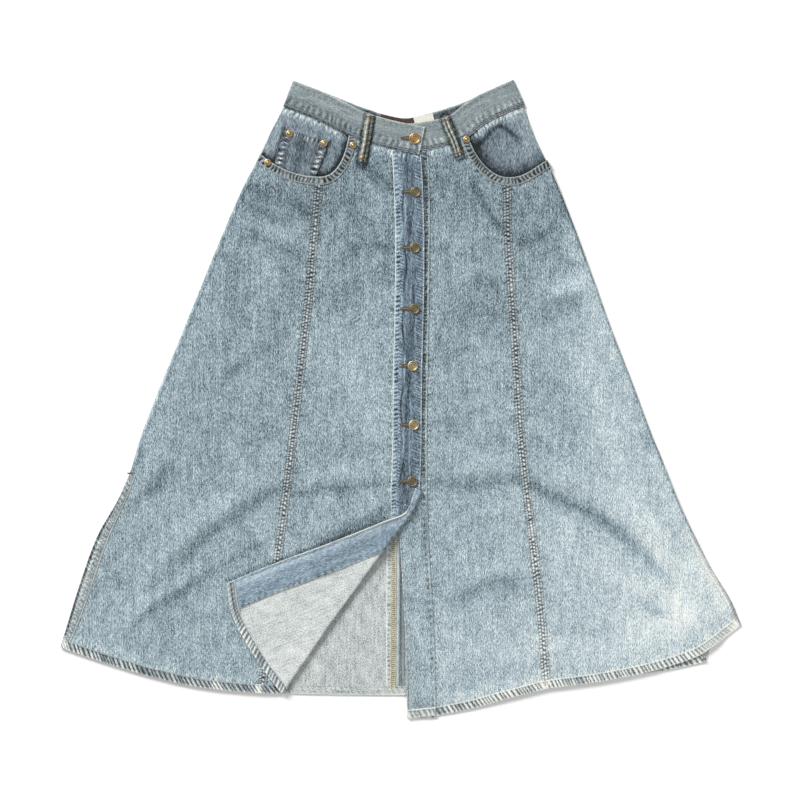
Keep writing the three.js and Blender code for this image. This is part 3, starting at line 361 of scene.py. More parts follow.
FOLDS = [
    Ridge(192, -92, 420, -255, 16, 21, 4.6),
    Ridge(240, -228, 400, -318, 8, 20, 2.0),
    Ridge(62, -112, 196, -108, 6, 16, 2.4),
    Ridge(80, -290, 190, -258, 8, 17, 2.4),
    Ridge(205, 148, 292, 168, 4, 15, 2.2),
    Ridge(98, 318, 158, 236, 5, 12, 1.8),
    Ridge(70, 180, 150, 168, 5, 14, 1.5),
    Ridge(-168, -118, -390, -262, -12, 19, 3.2),
    Ridge(-282, -246, -424, -350, -6, 17, 2.6),
    Ridge(-338, -78, -420, -170, -5, 15, 2.2),
    Ridge(-156, -126, -44, -116, 5, 15, 2.0),
    Ridge(-232, 318, -150, 288, 4, 12, 1.8),
    Ridge(-222, 262, -138, 226, 4, 13, 2.0),
    Ridge(-300, 10, -200, 90, 5, 16, 1.6),
]
CREASES = [
    Ridge(90, -180, 178, -170, 5, 13, 1.1),
    Ridge(260, 40, 330, -40, 5, 14, 0.9),
    Ridge(226, -330, 320, -352, 4, 14, 1.2),
    Ridge(-110, 262, -50, 226, 4, 11, 0.9),
    Ridge(-120, 60, -60, 20, 4, 14, 0.8),
    Ridge(-250, 150, -170, 190, 5, 14, 0.9),
    Ridge(-360, -60, -290, -10, 5, 14, 0.9),
    Ridge(-300, -330, -230, -300, 4, 14, 1.0),
    Ridge(60, 60, 130, 84, 4, 13, 0.8),
    Ridge(206, 268, 250, 200, 4, 12, 1.0),
    Ridge(64, -30, 150, -6, 4, 14, 0.9),
    Ridge(-140, -60, -60, -40, 4, 14, 0.8),
    Ridge(-230, -180, -180, -230, 4, 12, 0.8),
]


@dataclass(frozen=True)
class Lay:
    """How high each layer of the laid-out skirt lies, in millimetres above the surface."""

    eased: float = 3.6
    side_clearance: float = LAYER
    slit_clearance: float = 2.7
    overlap: float = DOUBLE_CLOTH + 2 * GAP
    label: float = 1.1

    def relief(self, x: Array, y: Array, ridges: Sequence[Ridge]) -> Array:
        """The height that folds add: a long slope towards the waist, and a short one with a dip below it.

        Args:
            x: the places' x.
            y: the places' y.
            ridges: the folds.

        Returns:
            The height at each place.
        """
        total = np.zeros_like(x, float)
        for r in ridges:
            dx, dy = r.x1 - r.x0, r.y1 - r.y0
            length = math.hypot(dx, dy)
            t = ((x - r.x0) * dx + (y - r.y0) * dy) / length ** 2
            aside = ((x - r.x0) * -dy + (y - r.y0) * dx) / length - r.bow * 4 * t * (1 - t)
            below = -np.sign(dx) * aside
            fade = smoothstep(t, -0.04, 0.3) * (1 - smoothstep(t, 0.68, 1.04))
            width = np.where(below > 0, 0.62, 1.3) * r.width
            dip = 0.3 * hump(below, 1.15 * r.width, 0.55 * r.width)
            total += r.height * fade * (hump(aside, 0, width) - dip)
        clear = smoothstep(np.abs(x - 14), 42, 82) * smoothstep(self.from_side(x, y), 0, 30)
        return total * clear

    @staticmethod
    def from_side(x: Array, y: Array) -> Array:
        """How far places lie inside the nearer side edge of the front."""
        return np.minimum(x - crossing(SIDE_RIGHT, y), crossing(SIDE_LEFT, y) - x)

    @staticmethod
    def past_back(x: Array, y: Array) -> Array:
        """How far places lie outside the back's hem or its left slit edge."""
        past_side = np.where(y < -110, x - crossing(BACK_SIDE_LEFT, y), 0)
        return np.maximum(np.maximum(level(HEM_BACK, x) - y, past_side), 0)

    def labels(self, x: Array) -> Array:
        """The lift over the labels inside the waistband."""
        return self.label * (1 - smoothstep(np.abs(x), 62, 110))

    def floor(self, x: Array, y: Array) -> Array:
        """The height that the front's lowest layer lies at.

        Args:
            x: the places' x.
            y: the places' y.

        Returns:
            The height at each place.
        """
        at_side = self.side_clearance + (self.slit_clearance - self.side_clearance) * smoothstep(-y, 60, 100)
        eased = at_side + (self.eased - at_side) * smoothstep(self.from_side(x, y), 0, 18)
        held = 1 - smoothstep(self.past_back(x, y), 4, 34)
        folds = self.relief(x, y, FOLDS) + self.relief(x, y, CREASES)
        return eased * held + np.maximum(folds, -0.9) + self.labels(x) * smoothstep(y, 300, 362)

    def under_pocket(self, x: Array, y: Array) -> Array:
        """The lift over the pocket facings and the coin pocket.

        Args:
            x: the places' x.
            y: the places' y.

        Returns:
            The height that it adds.
        """
        distance = np.minimum.reduce([line.nearest(x, y)[0] for line in MOUTHS])
        over_coin = smoothstep(x, -222, -200) * (1 - smoothstep(x, -122, -100))
        return ((LAYER + 0.4) * (1 - smoothstep(distance, 34, 76))
                + LAYER * over_coin * (1 - smoothstep(distance, 22, 60)))

    def over(self, x: Array) -> Array:
        """The lift of the buttonhole side over the button side."""
        return self.overlap * smoothstep(x, -66, -22)

    def panel(self, x: Array, y: Array) -> Array:
        """The underside of the front panels on the button side."""
        return self.floor(x, y) + self.under_pocket(x, y)

    def panel_over(self, x: Array, y: Array) -> Array:
        """The underside of the front panels on the buttonhole side."""
        return self.panel(x, y) + self.over(x)

    def waist(self, x: Array, is_over: bool) -> Array:
        """The underside of the front of the waistband."""
        return DOUBLE_CLOTH + GAP + self.labels(x) + (self.over(x) if is_over else 0)


def waist_seam(table: Points) -> list[Place]:
    """The line just under the waistband, from its top edge.

    Args:
        table: the points of the top edge.

    Returns:
        The points of the seam.
    """
    line = Line.through(table)
    shares = np.linspace(0, 1, 25)
    points = line.at(shares) - (WAISTBAND_DEPTH + 0.4) * left_of(line.at(shares))
    return [(float(x), float(y)) for x, y in points]


SEAM_FRONT_RIGHT = waist_seam(WAIST_FRONT_RIGHT)
SEAM_FRONT_LEFT = waist_seam(WAIST_FRONT_LEFT)
SEAM_BACK = waist_seam(WAIST_BACK)
ON_WAIST_RIGHT = (-78.0, float(level(SEAM_FRONT_RIGHT, -78.0)))
ON_WAIST_LEFT = (102.0, float(level(SEAM_FRONT_LEFT, 102.0)))
MOUTH_RIGHT_SIDE = Line.bezier((-208, 366), (-190, 350), (-160, 333.5), SEAM_RIGHT[0])
MOUTH_RIGHT_WAIST = Line.bezier(SEAM_RIGHT[0], (-98, 333.5), (-84, 358), ON_WAIST_RIGHT)
MOUTH_LEFT_WAIST = Line.bezier(ON_WAIST_LEFT, (105, 376), (129, 334), SEAM_LEFT[0])
MOUTH_LEFT_SIDE = Line.bezier(SEAM_LEFT[0], (185, 331), (200, 348), (220, 359))
MOUTHS = [MOUTH_RIGHT_SIDE, MOUTH_RIGHT_WAIST, MOUTH_LEFT_WAIST, MOUTH_LEFT_SIDE]
PRINCESS_RIGHT = down_line(SEAM_RIGHT, SEAM_RIGHT[0], SEAM_RIGHT[-1])
PRINCESS_LEFT = down_line(SEAM_LEFT, SEAM_LEFT[0], SEAM_LEFT[-1])
LAY = Lay()


@dataclass(frozen=True)
class FadeAndShade:
    """A stretch of cloth made paler or darker along a line, as washed-out streaks and as painted shade in creases: the
    line, how far it reaches and what it adds.
    """

    points: Points
    reach: float
    change: float


# Dark lines follow the creases of the folds: painted shade in them, along with the dye that the creases kept. Pale
# lines are washed-out streaks, and the widest ones are broad patches of the wash.
FADES_AND_SHADES = [
    FadeAndShade([(-170, -132), (-199, -142), (-226, -156), (-259, -181), (-294, -211), (-324, -241), (-376, -286)], 11, -0.13),
    FadeAndShade([(-211, -219), (-256, -241), (-301, -268), (-339, -294), (-376, -316), (-414, -354)], 6, -0.13),
    FadeAndShade([(-354, -99), (-364, -126), (-391, -147), (-403, -156)], 9, -0.12),
    # Painted shadow of the turned corner's lifted edge, with the shade of the fold above it.
    FadeAndShade([(-9, -162), (-39, -177), (-76, -196), (-114, -213)], 10, -0.2),
    FadeAndShade([(-24, -126), (-76, -132), (-129, -139), (-154, -141)], 6, -0.15),
    FadeAndShade([(-177, -49), (-208, -58), (-234, -70)], 6, -0.07),
    FadeAndShade([(-174, 104), (-193, 81), (-219, 71), (-234, 59), (-256, 36)], 9, -0.09),
    FadeAndShade([(-144, 209), (-166, 221), (-196, 234), (-219, 243)], 7, -0.13),
    FadeAndShade([(-136, 276), (-151, 290), (-166, 299)], 8, -0.13),
    FadeAndShade([(-234, 294), (-204, 279), (-181, 269)], 8, -0.13),
    FadeAndShade([(-226, 318), (-181, 312)], 10, -0.14),
    FadeAndShade([(-279, 216), (-259, 212), (-249, 194), (-259, 149)], 6, -0.08),
    FadeAndShade([(-39, 234), (-19, 228)], 8, -0.16),
    FadeAndShade([(-136, -76), (-106, -88), (-61, -73), (-16, -69)], 12, -0.05),
    FadeAndShade([(-118, 149), (-61, 171), (-19, 186)], 21, -0.07),
    FadeAndShade([(-61, 351), (-31, 332), (-10, 309)], 8, -0.16),
    FadeAndShade([(-73, 299), (-70, 224)], 14, -0.06),
    FadeAndShade([(-151, 359), (-106, 299)], 21, -0.05),
    FadeAndShade([(44, -123), (66, -127), (104, -132), (149, -124), (180, -122)], 10, -0.13),
    FadeAndShade([(199, -129), (216, -139), (254, -159), (299, -178), (329, -204), (359, -229), (389, -256), (407, -274)],
         9, -0.2),
    FadeAndShade([(359, -301), (381, -319), (396, -324)], 6, -0.1),
    FadeAndShade([(89, -294), (119, -279), (156, -271)], 15, -0.12),
    FadeAndShade([(149, -298), (194, -280)], 9, -0.07),
    FadeAndShade([(111, 321), (126, 291), (149, 257)], 7, -0.22),
    FadeAndShade([(179, 234), (209, 246), (228, 257)], 9, -0.14),
    FadeAndShade([(104, 173), (126, 177), (146, 162)], 10, -0.12),
    FadeAndShade([(81, 141), (149, 126)], 24, -0.08),
    FadeAndShade([(216, 129), (239, 137), (261, 146)], 14, -0.1),
    FadeAndShade([(239, 161), (261, 173), (287, 194)], 12, 0.09),
    FadeAndShade([(254, 206), (272, 200)], 6, -0.12),
    FadeAndShade([(71, 56), (86, 71), (104, 78)], 6, -0.11),
    FadeAndShade([(201, -54), (221, -76), (239, -99)], 9, -0.07),
    FadeAndShade([(66, 231), (72, 164)], 9, -0.08),
    FadeAndShade([(74, -39), (89, -16)], 18, -0.06),
    FadeAndShade([(149, -39), (146, -64)], 14, -0.06),
    FadeAndShade([(366, -54), (377, -76)], 9, -0.12),
    FadeAndShade([(253, 254), (296, 134), (363, -46), (411, -166), (480, -301)], 17, 0.15),
    FadeAndShade([(219, -372), (300, -372), (375, -356), (440, -334), (478, -320)], 24, 0.12),
    FadeAndShade([(222, -418), (303, -407), (392, -388), (450, -368), (490, -345)], 15, 0.1),
    FadeAndShade([(60, -454), (104, -445), (155, -432), (204, -420)], 12, 0.13),
    FadeAndShade([(-490, -364), (-377, -400), (-302, -417), (-230, -425)], 11, 0.07),
    FadeAndShade([(362, -262), (376, -302)], 20, -0.1),
    # Painted shadow just outside the turned corner's edge, where it lies on the panel.
    FadeAndShade([(-22, -180), (-104, -212.5), (-194, -246), (-259, -272)], 3.0, -0.24),
    FadeAndShade([(-196, 250), (-207, 180), (-214, 120)], 14, 0.05),
    FadeAndShade([(276, 81), (299, 6), (321, -61), (344, -121), (366, -181), (396, -256), (422, -309)], 32, 0.15),
    FadeAndShade([(381, -301), (449, -286)], 65, 0.11),
    FadeAndShade([(239, -211), (359, -331)], 75, 0.09),
    FadeAndShade([(299, 89), (336, 14), (381, -91)], 18, -0.04),
    FadeAndShade([(89, -361), (179, -376)], 60, 0.07),
    FadeAndShade([(-106, 104), (-24, -46)], 45, 0.05),
    FadeAndShade([(-286, 194), (-376, -1)], 60, 0.03),
    FadeAndShade([(-211, 284), (-226, 119)], 60, -0.02),
    FadeAndShade([(59, 344), (209, 254)], 60, -0.07),
    FadeAndShade([(-106, 344), (-31, 254)], 60, -0.05),
    FadeAndShade([(-421, -211), (-451, -331)], 75, 0.03),
    FadeAndShade([(216, 329), (254, 246)], 21, -0.06),
]


def wash_and_shade(x: Array, y: Array) -> Array:
    """The tone of the cloth at places in plan, with the wash's fades and painted shade: 0 is dark indigo and 1 is worn
    white.

    Args:
        x: the places' x.
        y: the places' y.

    Returns:
        The tones.
    """
    tone = np.full(x.shape, 0.5)
    for fade in FADES_AND_SHADES:
        distance, _ = Line.through(fade.points).nearest(x, y)
        tone += fade.change * hump(distance, 0, fade.reach)
    folds = LAY.relief(x, y, FOLDS) + LAY.relief(x, y, CREASES)
    side = LAY.from_side(x, y)
    by_side = hump(side, 0, 2.4)
    above_slit = (0.24 * by_side - 0.1 * hump(side, 6.2, 2.2)) * smoothstep(y, -112, -100)
    edge = np.where(x < 0, above_slit, -0.3 * by_side)
    # Besides the table's fades and painted crease shade, this adds a pale line with a darker one beside it along the
    # wearer's right side above the slit, and darker cloth along the left side edge. It adds a painted gradient, darker
    # towards the waist and the wearer's right, that evens out the key light's fall-off. Fold crests get painted light
    # and troughs painted shade, along with their wear, and the painted shadow beside the belt loops is taken off.
    return tone + edge - 0.03 + 0.00012 * x - 0.00017 * y + 0.028 * np.clip(folds, -1.2, 2.5) - loop_shadow_and_dye(x, y)


BELT_LOOPS = (("right", -46, 425.5, -58, 356), ("left", 67, 421, 88, 366))


def loop_shadow_and_dye(x: Array, y: Array) -> Array:
    """How much darker the cloth is beside the belt loops: painted shadow of the loops, with the unfaded dye that they
    kept from the wash.

    Args:
        x: the places' x.
        y: the places' y.

    Returns:
        How much darker each place is.
    """
    dark = np.zeros(x.shape)
    for _, x0, y0, x1, y1 in BELT_LOOPS:
        distance, _ = Line(np.array([[x0, y0], [x1, y1]], float)).nearest(x, y)
        dark += 0.34 * hump(distance, 7.6, 1.9)
    return dark


class Gathers:
    """The uneven puckers that stitching draws into cloth, about one period apart."""

    ahead: float = 30.0
    mean: float = 0.34

    def __init__(self, period: float, seed: int, length: float = 1300.0) -> None:
        """Places the puckers.

        Args:
            period: their mean distance apart, in millimetres.
            seed: what their unevenness is drawn from.
            length: how far they run.
        """
        rng = np.random.default_rng(seed)
        self.places = np.cumsum(period * rng.uniform(0.62, 1.38, int(length / period * 1.5)))
        self.depths = rng.uniform(0.35, 1.0, len(self.places))

    def wave(self, run: Array) -> Array:
        """The height of the puckers along a run.

        Args:
            run: the distances along it, which start a little way into the puckers.

        Returns:
            The heights, from 0 between puckers to 1 on the deepest.
        """
        run = run + self.ahead
        turns = np.interp(run, self.places, np.arange(len(self.places)))
        return (0.5 - 0.5 * np.cos(2 * math.pi * turns)) * np.interp(run, self.places, self.depths)

    def uneven(self, run: Array) -> Array:
        """The same height about its mean."""
        return self.wave(run) - self.mean


@dataclass
class Grid:
    """Cloth as rows and columns of points on its middle surface, in millimetres, with what its finish reads there."""

    points: Array
    tone: Array
    weave: Array
    gap: Array
    run: Array

    @classmethod
    def over(cls, plan: Array, height: Array, tone: Array, thickness: float = CLOTH) -> "Grid":
        """A grid over a plan.

        Args:
            plan: the points in plan.
            height: the height of the underside there.
            tone: the tone of the wash there.
            thickness: how thick the cloth is.

        Returns:
            The grid, with the warp along y.
        """
        points = np.concatenate([plan, (height + thickness / 2)[..., None]], -1)
        flat = np.zeros(height.shape)
        return cls.loose(points, tone + flat, plan.copy(), flat)

    @classmethod
    def loose(cls, points: Array, tone: Array, weave: Array, run: Array) -> "Grid":
        """A grid of points in space with no seam near."""
        return cls(points, tone, weave, np.full(tone.shape, FAR), run)

    def beside(self, seams: Sequence[tuple[Line, float]]) -> "Grid":
        """Notes how far each point lies from the nearest sewn line.

        Args:
            seams: each line, and half the width of what is sewn over it.

        Returns:
            This grid.
        """
        x, y = self.points[..., 0], self.points[..., 1]
        for line, half in seams:
            distance, run = line.nearest(x, y)
            nearer = distance - half < self.gap
            self.gap = np.where(nearer, distance - half, self.gap)
            self.run = np.where(nearer, run, self.run)
        return self

    def gathered(self, line: Line, seed: int) -> "Grid":
        """Draws the cloth up below a seam line: a dark line in the seam, painted as the shadow of the band sewn above
        it, and pale puckers below it.

        Args:
            line: the seam.
            seed: what the puckers' unevenness is drawn from.

        Returns:
            This grid.
        """
        distance, run = line.nearest(self.points[..., 0], self.points[..., 1])
        drawn = Gathers(6.0, seed).wave(run + 0.25 * distance)
        window = hump(distance, 4.5, 4.2)
        # The dark line at the seam is painted shadow; the pale puckers follow.
        self.tone = self.tone - 0.16 * hump(distance, 0, 1.4) + (0.7 * drawn - 0.08) * window
        self.points[..., 2] += 0.5 * (drawn - 0.3) * window
        return self

    def line(self, share: float, lift: float) -> Array:
        """The points along the grid at a share of its width, lifted off its middle surface.

        Args:
            share: where across the grid.
            lift: how far over its middle surface.

        Returns:
            The points.
        """
        column = share * (self.points.shape[1] - 1)
        low = int(min(column, self.points.shape[1] - 2))
        found = self.points[:, low] * (low + 1 - column) + self.points[:, low + 1] * (column - low)
        return found + np.array([0, 0, lift])


class Pucker(Enum):
    """How stitching draws up a strip of cloth."""

    NONE = "none"
    LADDER = "ladder"
    ROPING = "roping"


@dataclass
class Ribbon:
    """A narrow strip of cloth along a line, lying on a base, from right of the line to left of it."""

    line: Line
    base: Height
    left: float
    right: float = 0.0
    tone: float | Callable[[Array, Array], Array] = 0.5
    pucker: Pucker = Pucker.NONE
    period: float = 6.4
    seed: int = 1
    depth: float = 0.7
    contrast: float = 0.3
    thickness: float = BAND_CLOTH
    step: float = 1.7
    columns: int = 9
    worn_left: float = 0.0
    worn_right: float = 0.0
    crown: float = 0.35
    slant: float = 0.8
    smooth_after: float = FAR
    pattern: Pattern | None = None

    def grid(self) -> Grid:
        """The strip's grid, with its puckers and worn edges.

        Returns:
            The grid.
        """
        rows = max(6, int(self.line.length / self.step))
        shares = np.linspace(0, 1, rows)
        centre = self.line.at(shares)
        u = np.linspace(0, 1, self.columns)[None]
        width = self.left + self.right
        plan = centre[:, None] + left_of(centre)[:, None] * (u * width - self.right)[..., None]
        x, y = plan[..., 0], plan[..., 1]
        run = np.broadcast_to((shares * self.line.length)[:, None], x.shape)
        rise, shade = self.drawn_up(run, np.broadcast_to(u, x.shape), width)
        tone = self.tone(x, y) if callable(self.tone) else np.full(x.shape, self.tone)
        tone = tone + shade + self.worn_right * hump(u * width, 0, 1.5)
        tone = tone + self.worn_left * hump((1 - u) * width, 0, 1.5)
        round_edge = self.crown * (1 - np.abs(2 * u - 1) ** 4)
        made = Grid.over(plan, self.base(x, y) + rise + round_edge, tone, self.thickness)
        made.weave = np.stack([np.broadcast_to(u * width, x.shape), run], -1)
        return made

    def drawn_up(self, run: Array, u: Array, width: float) -> tuple[Array, Array]:
        """How the stitching draws the strip up.

        Args:
            run: how far along the strip each point is.
            u: its share of the width.
            width: the strip's width.

        Returns:
            The height and the change of tone at each point.
        """
        if self.pattern:
            return self.pattern(u * width, run)
        if self.pucker is Pucker.NONE:
            return np.zeros_like(run), np.zeros_like(run)
        if self.pucker is Pucker.ROPING:
            slant = Gathers(self.period, self.seed).wave(run + self.slant * u * width)
            frayed = Gathers(2.9, self.seed + 60).uneven(run - 0.3 * u * width)
            window = (1 - smoothstep(u, 0.76, 0.96)) * (1 - 0.7 * smoothstep(run - self.smooth_after, 0, 40))
            sewn = 0.15 * hump(u * width, 0.75 * width, 0.9)
            return self.depth * slant * window, self.contrast * (2 * slant - 0.72 + 0.7 * frayed) * window - sewn
        bent = run + 0.9 * np.sin(5 * u + run / 11)
        rungs = Gathers(self.period, self.seed).wave(bent) * smoothstep(u, 0.08, 0.24) * (1 - smoothstep(u, 0.76, 0.92))
        row = Gathers(self.period * 0.8, self.seed + 50).wave(run) * hump(u, 0.78, 0.1)
        drawn = rungs + 0.5 * row
        return self.depth * (0.5 - drawn), self.contrast * (0.45 - 1.7 * drawn)


def add_node(tree: bpy.types.NodeTree, kind: str, settings: dict, inputs: dict) -> bpy.types.Node:
    """Adds a node with its settings and links.

    Args:
        tree: the material's tree.
        kind: the node's type name.
        settings: the node's own properties.
        inputs: for each input name or number, a value or the socket that feeds it.

    Returns:
        The node.
    """
    node = tree.nodes.new(kind)
    for name, value in settings.items():
        setattr(node, name, value)
    for name, value in inputs.items():
        if isinstance(value, bpy.types.NodeSocket):
            tree.links.new(value, node.inputs[name])
        else:
            node.inputs[name].default_value = value
    return node


def new_material(name: str) -> tuple[bpy.types.Material, bpy.types.NodeTree, bpy.types.Node]:
    """An empty material with its tree and its surface shader.

    Args:
        name: the material's name.

    Returns:
        The material, its tree and its shader.
    """
    material = bpy.data.materials.new(name)
    material.use_nodes = True
    tree = material.node_tree
    tree.nodes.clear()
    shader = add_node(tree, "ShaderNodeBsdfPrincipled", {}, {})
    add_node(tree, "ShaderNodeOutputMaterial", {}, {"Surface": shader.outputs[0]})
    return material, tree, shader


def add_ramp(tree: bpy.types.NodeTree, value: bpy.types.NodeSocket, stops: Stops) -> bpy.types.NodeSocket:
    """Turns a value to a colour through stops of place and sRGB hex.

    Args:
        tree: the material's tree.
        value: what it reads.
        stops: places and colours.

    Returns:
        The socket with the colour.
    """
    ramp = add_node(tree, "ShaderNodeValToRGB", {}, {0: value})
    elements = ramp.color_ramp.elements
    while len(elements) < len(stops):
        elements.new(0.5)
    for element, (place, code) in zip(elements, stops):
        element.position = place
        element.color = linear(code)
    return ramp.outputs[0]


# The lean of the twill's streaks in radians, and the size of the small puckers beside a seam in millimetres.
TWILL_LEAN = 0.62
PUCKER_ALONG = 4.2
PUCKER_ACROSS = 16.0


@dataclass(frozen=True)
class Speckle:
    """One layer of a cloth's unevenness: its size across and along the warp in millimetres, and its strength."""

    across: float
    along: float
    gain: float
    detail: float = 2.0


@dataclass(frozen=True)
class Woven:
    """A woven cotton: its colours from indigo to worn white, its unevenness and its puckers beside seams."""

    name: str
    stops: Stops
    speckles: Sequence[Speckle]
    pucker_gain: float = 0.8
    roughness: float = 0.9
    sheen: float = 0.06
    bump: float = 0.5

    def build(self) -> bpy.types.Material:
        """The material, from the tone, weave, gap and run that the meshes carry.

        Returns:
            The material.
        """
        material, tree, shader = new_material(self.name)
        carried = {}
        for name in ("weave", "tone", "gap", "run"):
            carried[name] = add_node(tree, "ShaderNodeAttribute", {"attribute_name": name}, {}).outputs
        total, gap, run = (carried[name]["Fac"] for name in ("tone", "gap", "run"))
        offset = 0.0
        relief = None
        for speckle in self.speckles:
            scale = (1 / speckle.across, 1 / speckle.along, 1)
            place = add_node(tree, "ShaderNodeMapping", {},
                             {"Vector": carried["weave"]["Vector"], "Rotation": (0, 0, TWILL_LEAN), "Scale": scale})
            noise = add_node(tree, "ShaderNodeTexNoise", {"noise_dimensions": "2D"},
                             {"Vector": place.outputs[0], "Scale": 1.0, "Detail": speckle.detail, "Roughness": 0.6})
            total = add_node(tree, "ShaderNodeMath", {"operation": "MULTIPLY_ADD"},
                             {0: noise.outputs[0], 1: speckle.gain, 2: total}).outputs[0]
            offset += speckle.gain / 2
            if relief is None:
                relief = noise.outputs[0]
        near = add_node(tree, "ShaderNodeMapRange", {"interpolation_type": "SMOOTHSTEP"},
                        {"Value": gap, "From Min": -2.0, "From Max": 11.0, "To Min": 1.0, "To Max": 0.0})
        along = add_node(tree, "ShaderNodeMath", {"operation": "MULTIPLY"}, {0: run, 1: 1 / PUCKER_ALONG})
        out = add_node(tree, "ShaderNodeMath", {"operation": "MULTIPLY"}, {0: gap, 1: 1 / PUCKER_ACROSS})
        place = add_node(tree, "ShaderNodeCombineXYZ", {}, {0: along.outputs[0], 1: out.outputs[0]})
        drawn = add_node(tree, "ShaderNodeTexNoise", {"noise_dimensions": "2D"},
                         {"Vector": place.outputs[0], "Scale": 1.0, "Detail": 1.0})
        centred = add_node(tree, "ShaderNodeMath", {"operation": "SUBTRACT"}, {0: drawn.outputs[0], 1: 0.52})
        pucker = add_node(tree, "ShaderNodeMath", {"operation": "MULTIPLY"},
                          {0: centred.outputs[0], 1: near.outputs[0]})
        total = add_node(tree, "ShaderNodeMath", {"operation": "MULTIPLY_ADD"},
                         {0: pucker.outputs[0], 1: self.pucker_gain, 2: total}).outputs[0]
        total = add_node(tree, "ShaderNodeMath", {"operation": "SUBTRACT"}, {0: total, 1: offset}).outputs[0]
        height = add_node(tree, "ShaderNodeMath", {"operation": "MULTIPLY_ADD"},
                          {0: pucker.outputs[0], 1: 2.0, 2: relief})
        bump = add_node(tree, "ShaderNodeBump", {},
                        {"Strength": self.bump, "Distance": 0.6 * MM, "Height": height.outputs[0]})
        tree.links.new(add_ramp(tree, total, self.stops), shader.inputs["Base Color"])
        tree.links.new(bump.outputs[0], shader.inputs["Normal"])
        shader.inputs["Roughness"].default_value = self.roughness
        shader.inputs["Sheen Weight"].default_value = self.sheen
        shader.inputs["Specular IOR Level"].default_value = 0.25
        return material


@dataclass(frozen=True)
class Plain:
    """Thread, leather, tape or plated metal: two colours mixed by a fine unevenness of a size in millimetres."""

    name: str
    dark: str
    light: str
    size: float
    roughness: float
    metallic: float = 0.0
    bump: float = 0.3
    by_tone: bool = False

    def build(self) -> bpy.types.Material:
        """The material, on object coordinates.

        Returns:
            The material.
        """
        material, tree, shader = new_material(self.name)
        place = add_node(tree, "ShaderNodeTexCoord", {}, {}).outputs["Object"]
        noise = add_node(tree, "ShaderNodeTexNoise", {},
                         {"Vector": place, "Scale": 1 / (self.size * MM), "Detail": 3.0})
        value = add_node(tree, "ShaderNodeMapRange", {},
                         {"Value": noise.outputs[0], "From Min": 0.3, "From Max": 0.7}).outputs[0]
        if self.by_tone:
            tone = add_node(tree, "ShaderNodeAttribute", {"attribute_name": "tone"}, {}).outputs["Fac"]
            value = add_node(tree, "ShaderNodeMath", {"operation": "MULTIPLY_ADD"},
                             {0: value, 1: 0.5, 2: tone}).outputs[0]
        colour = add_ramp(tree, value, [(0.0, self.dark), (1.0, self.light)])
        bump = add_node(tree, "ShaderNodeBump", {},
                        {"Strength": self.bump, "Distance": 0.2 * MM, "Height": noise.outputs[0]})
        tree.links.new(colour, shader.inputs["Base Color"])
        tree.links.new(bump.outputs[0], shader.inputs["Normal"])
        shader.inputs["Roughness"].default_value = self.roughness
        shader.inputs["Metallic"].default_value = self.metallic
        return material


# Stone-washed denim: cotton twill with an indigo warp and a white weft, tumbled with stones. That leaves a matt,
# pale blue face with uneven streaks along the warp. Real warp threads are 0.5 mm apart, too fine to show, so the
# finest streaks are drawn 1.1 mm wide. The widest are the blotches that the drum left, 10 to 75 mm across.
INDIGO_STOPS = [(0.0, "#252d32"), (0.15, "#48545b"), (0.32, "#6b7b83"), (0.5, "#8d9fa7"), (0.68, "#adbdc4"),
                (0.85, "#cfdadb"), (1.0, "#eff1eb")]
WARP_SPECKLES = [Speckle(1.2, 5.0, 0.98, 1.0), Speckle(1.1, 1.6, 0.62, 0.0), Speckle(2.0, 60.0, 0.34, 1.0),
                 Speckle(11.0, 20.0, 0.34, 2.0), Speckle(55.0, 75.0, 0.18, 2.0)]
# Bands of doubled cloth are rubbed along their length, in longer and softer streaks.
BAND_SPECKLES = [Speckle(1.2, 5.0, 0.75, 1.0), Speckle(4.0, 17.0, 0.36, 2.0), Speckle(9.0, 60.0, 0.22, 1.0)]
DENIM = Woven("stone_washed_denim_twill", INDIGO_STOPS, WARP_SPECKLES)
RUBBED_STOPS = [(0.0, "#23292f"), (0.15, "#434f59"), (0.32, "#667783"), (0.5, "#889baa"), (0.68, "#abbcc6"),
                (0.85, "#cfdadb"), (1.0, "#eff1eb")]
RUBBED_DENIM = Woven("rubbed_denim_twill", RUBBED_STOPS, BAND_SPECKLES)
# The cloth behind the pocket mouths kept more of its dye and greyed in the shade of the pocket.
POCKET_STOPS = [(0.0, "#1d2327"), (0.15, "#3f494f"), (0.32, "#626e77"), (0.5, "#84929b"), (0.7, "#adb8bd"),
                (0.85, "#cfd5d2"), (1.0, "#efeee6")]
POCKET_DENIM = Woven("shaded_denim_twill", POCKET_STOPS, BAND_SPECKLES)
# The wrong side of the twill shows mostly the white weft, flecked with indigo.
WEFT_STOPS = [(0.0, "#5f696c"), (0.3, "#9fa8a9"), (0.55, "#c3c9c7"), (0.8, "#dadedb"), (1.0, "#edeee9")]
WEFT_SPECKLES = [Speckle(1.4, 2.2, 1.25, 1.0), Speckle(2.4, 30.0, 0.4, 1.0), Speckle(12.0, 16.0, 0.45, 2.0),
                 Speckle(60.0, 70.0, 0.3, 2.0)]
DENIM_INSIDE = Woven("denim_twill_wrong_side", WEFT_STOPS, WEFT_SPECKLES, pucker_gain=0.3)
# Folded edges of old denim lose their indigo first and turn to a cream line.
WORN_EDGE = Woven("worn_denim_edge", [(0.0, "#7d8890"), (0.5, "#c9cbc0"), (1.0, "#e6e3d3")], [Speckle(1.2, 2.5, 0.6)])
# The rims of the pocket bands and belt loops: the dark indigo of a cut edge, darkened further as painted shade under
# the edge.
SHADED_EDGE = Woven("dark_denim_edge_in_painted_shade", [(0.0, "#14191c"), (1.0, "#3a454c")], [Speckle(1.6, 2.5, 0.6)])
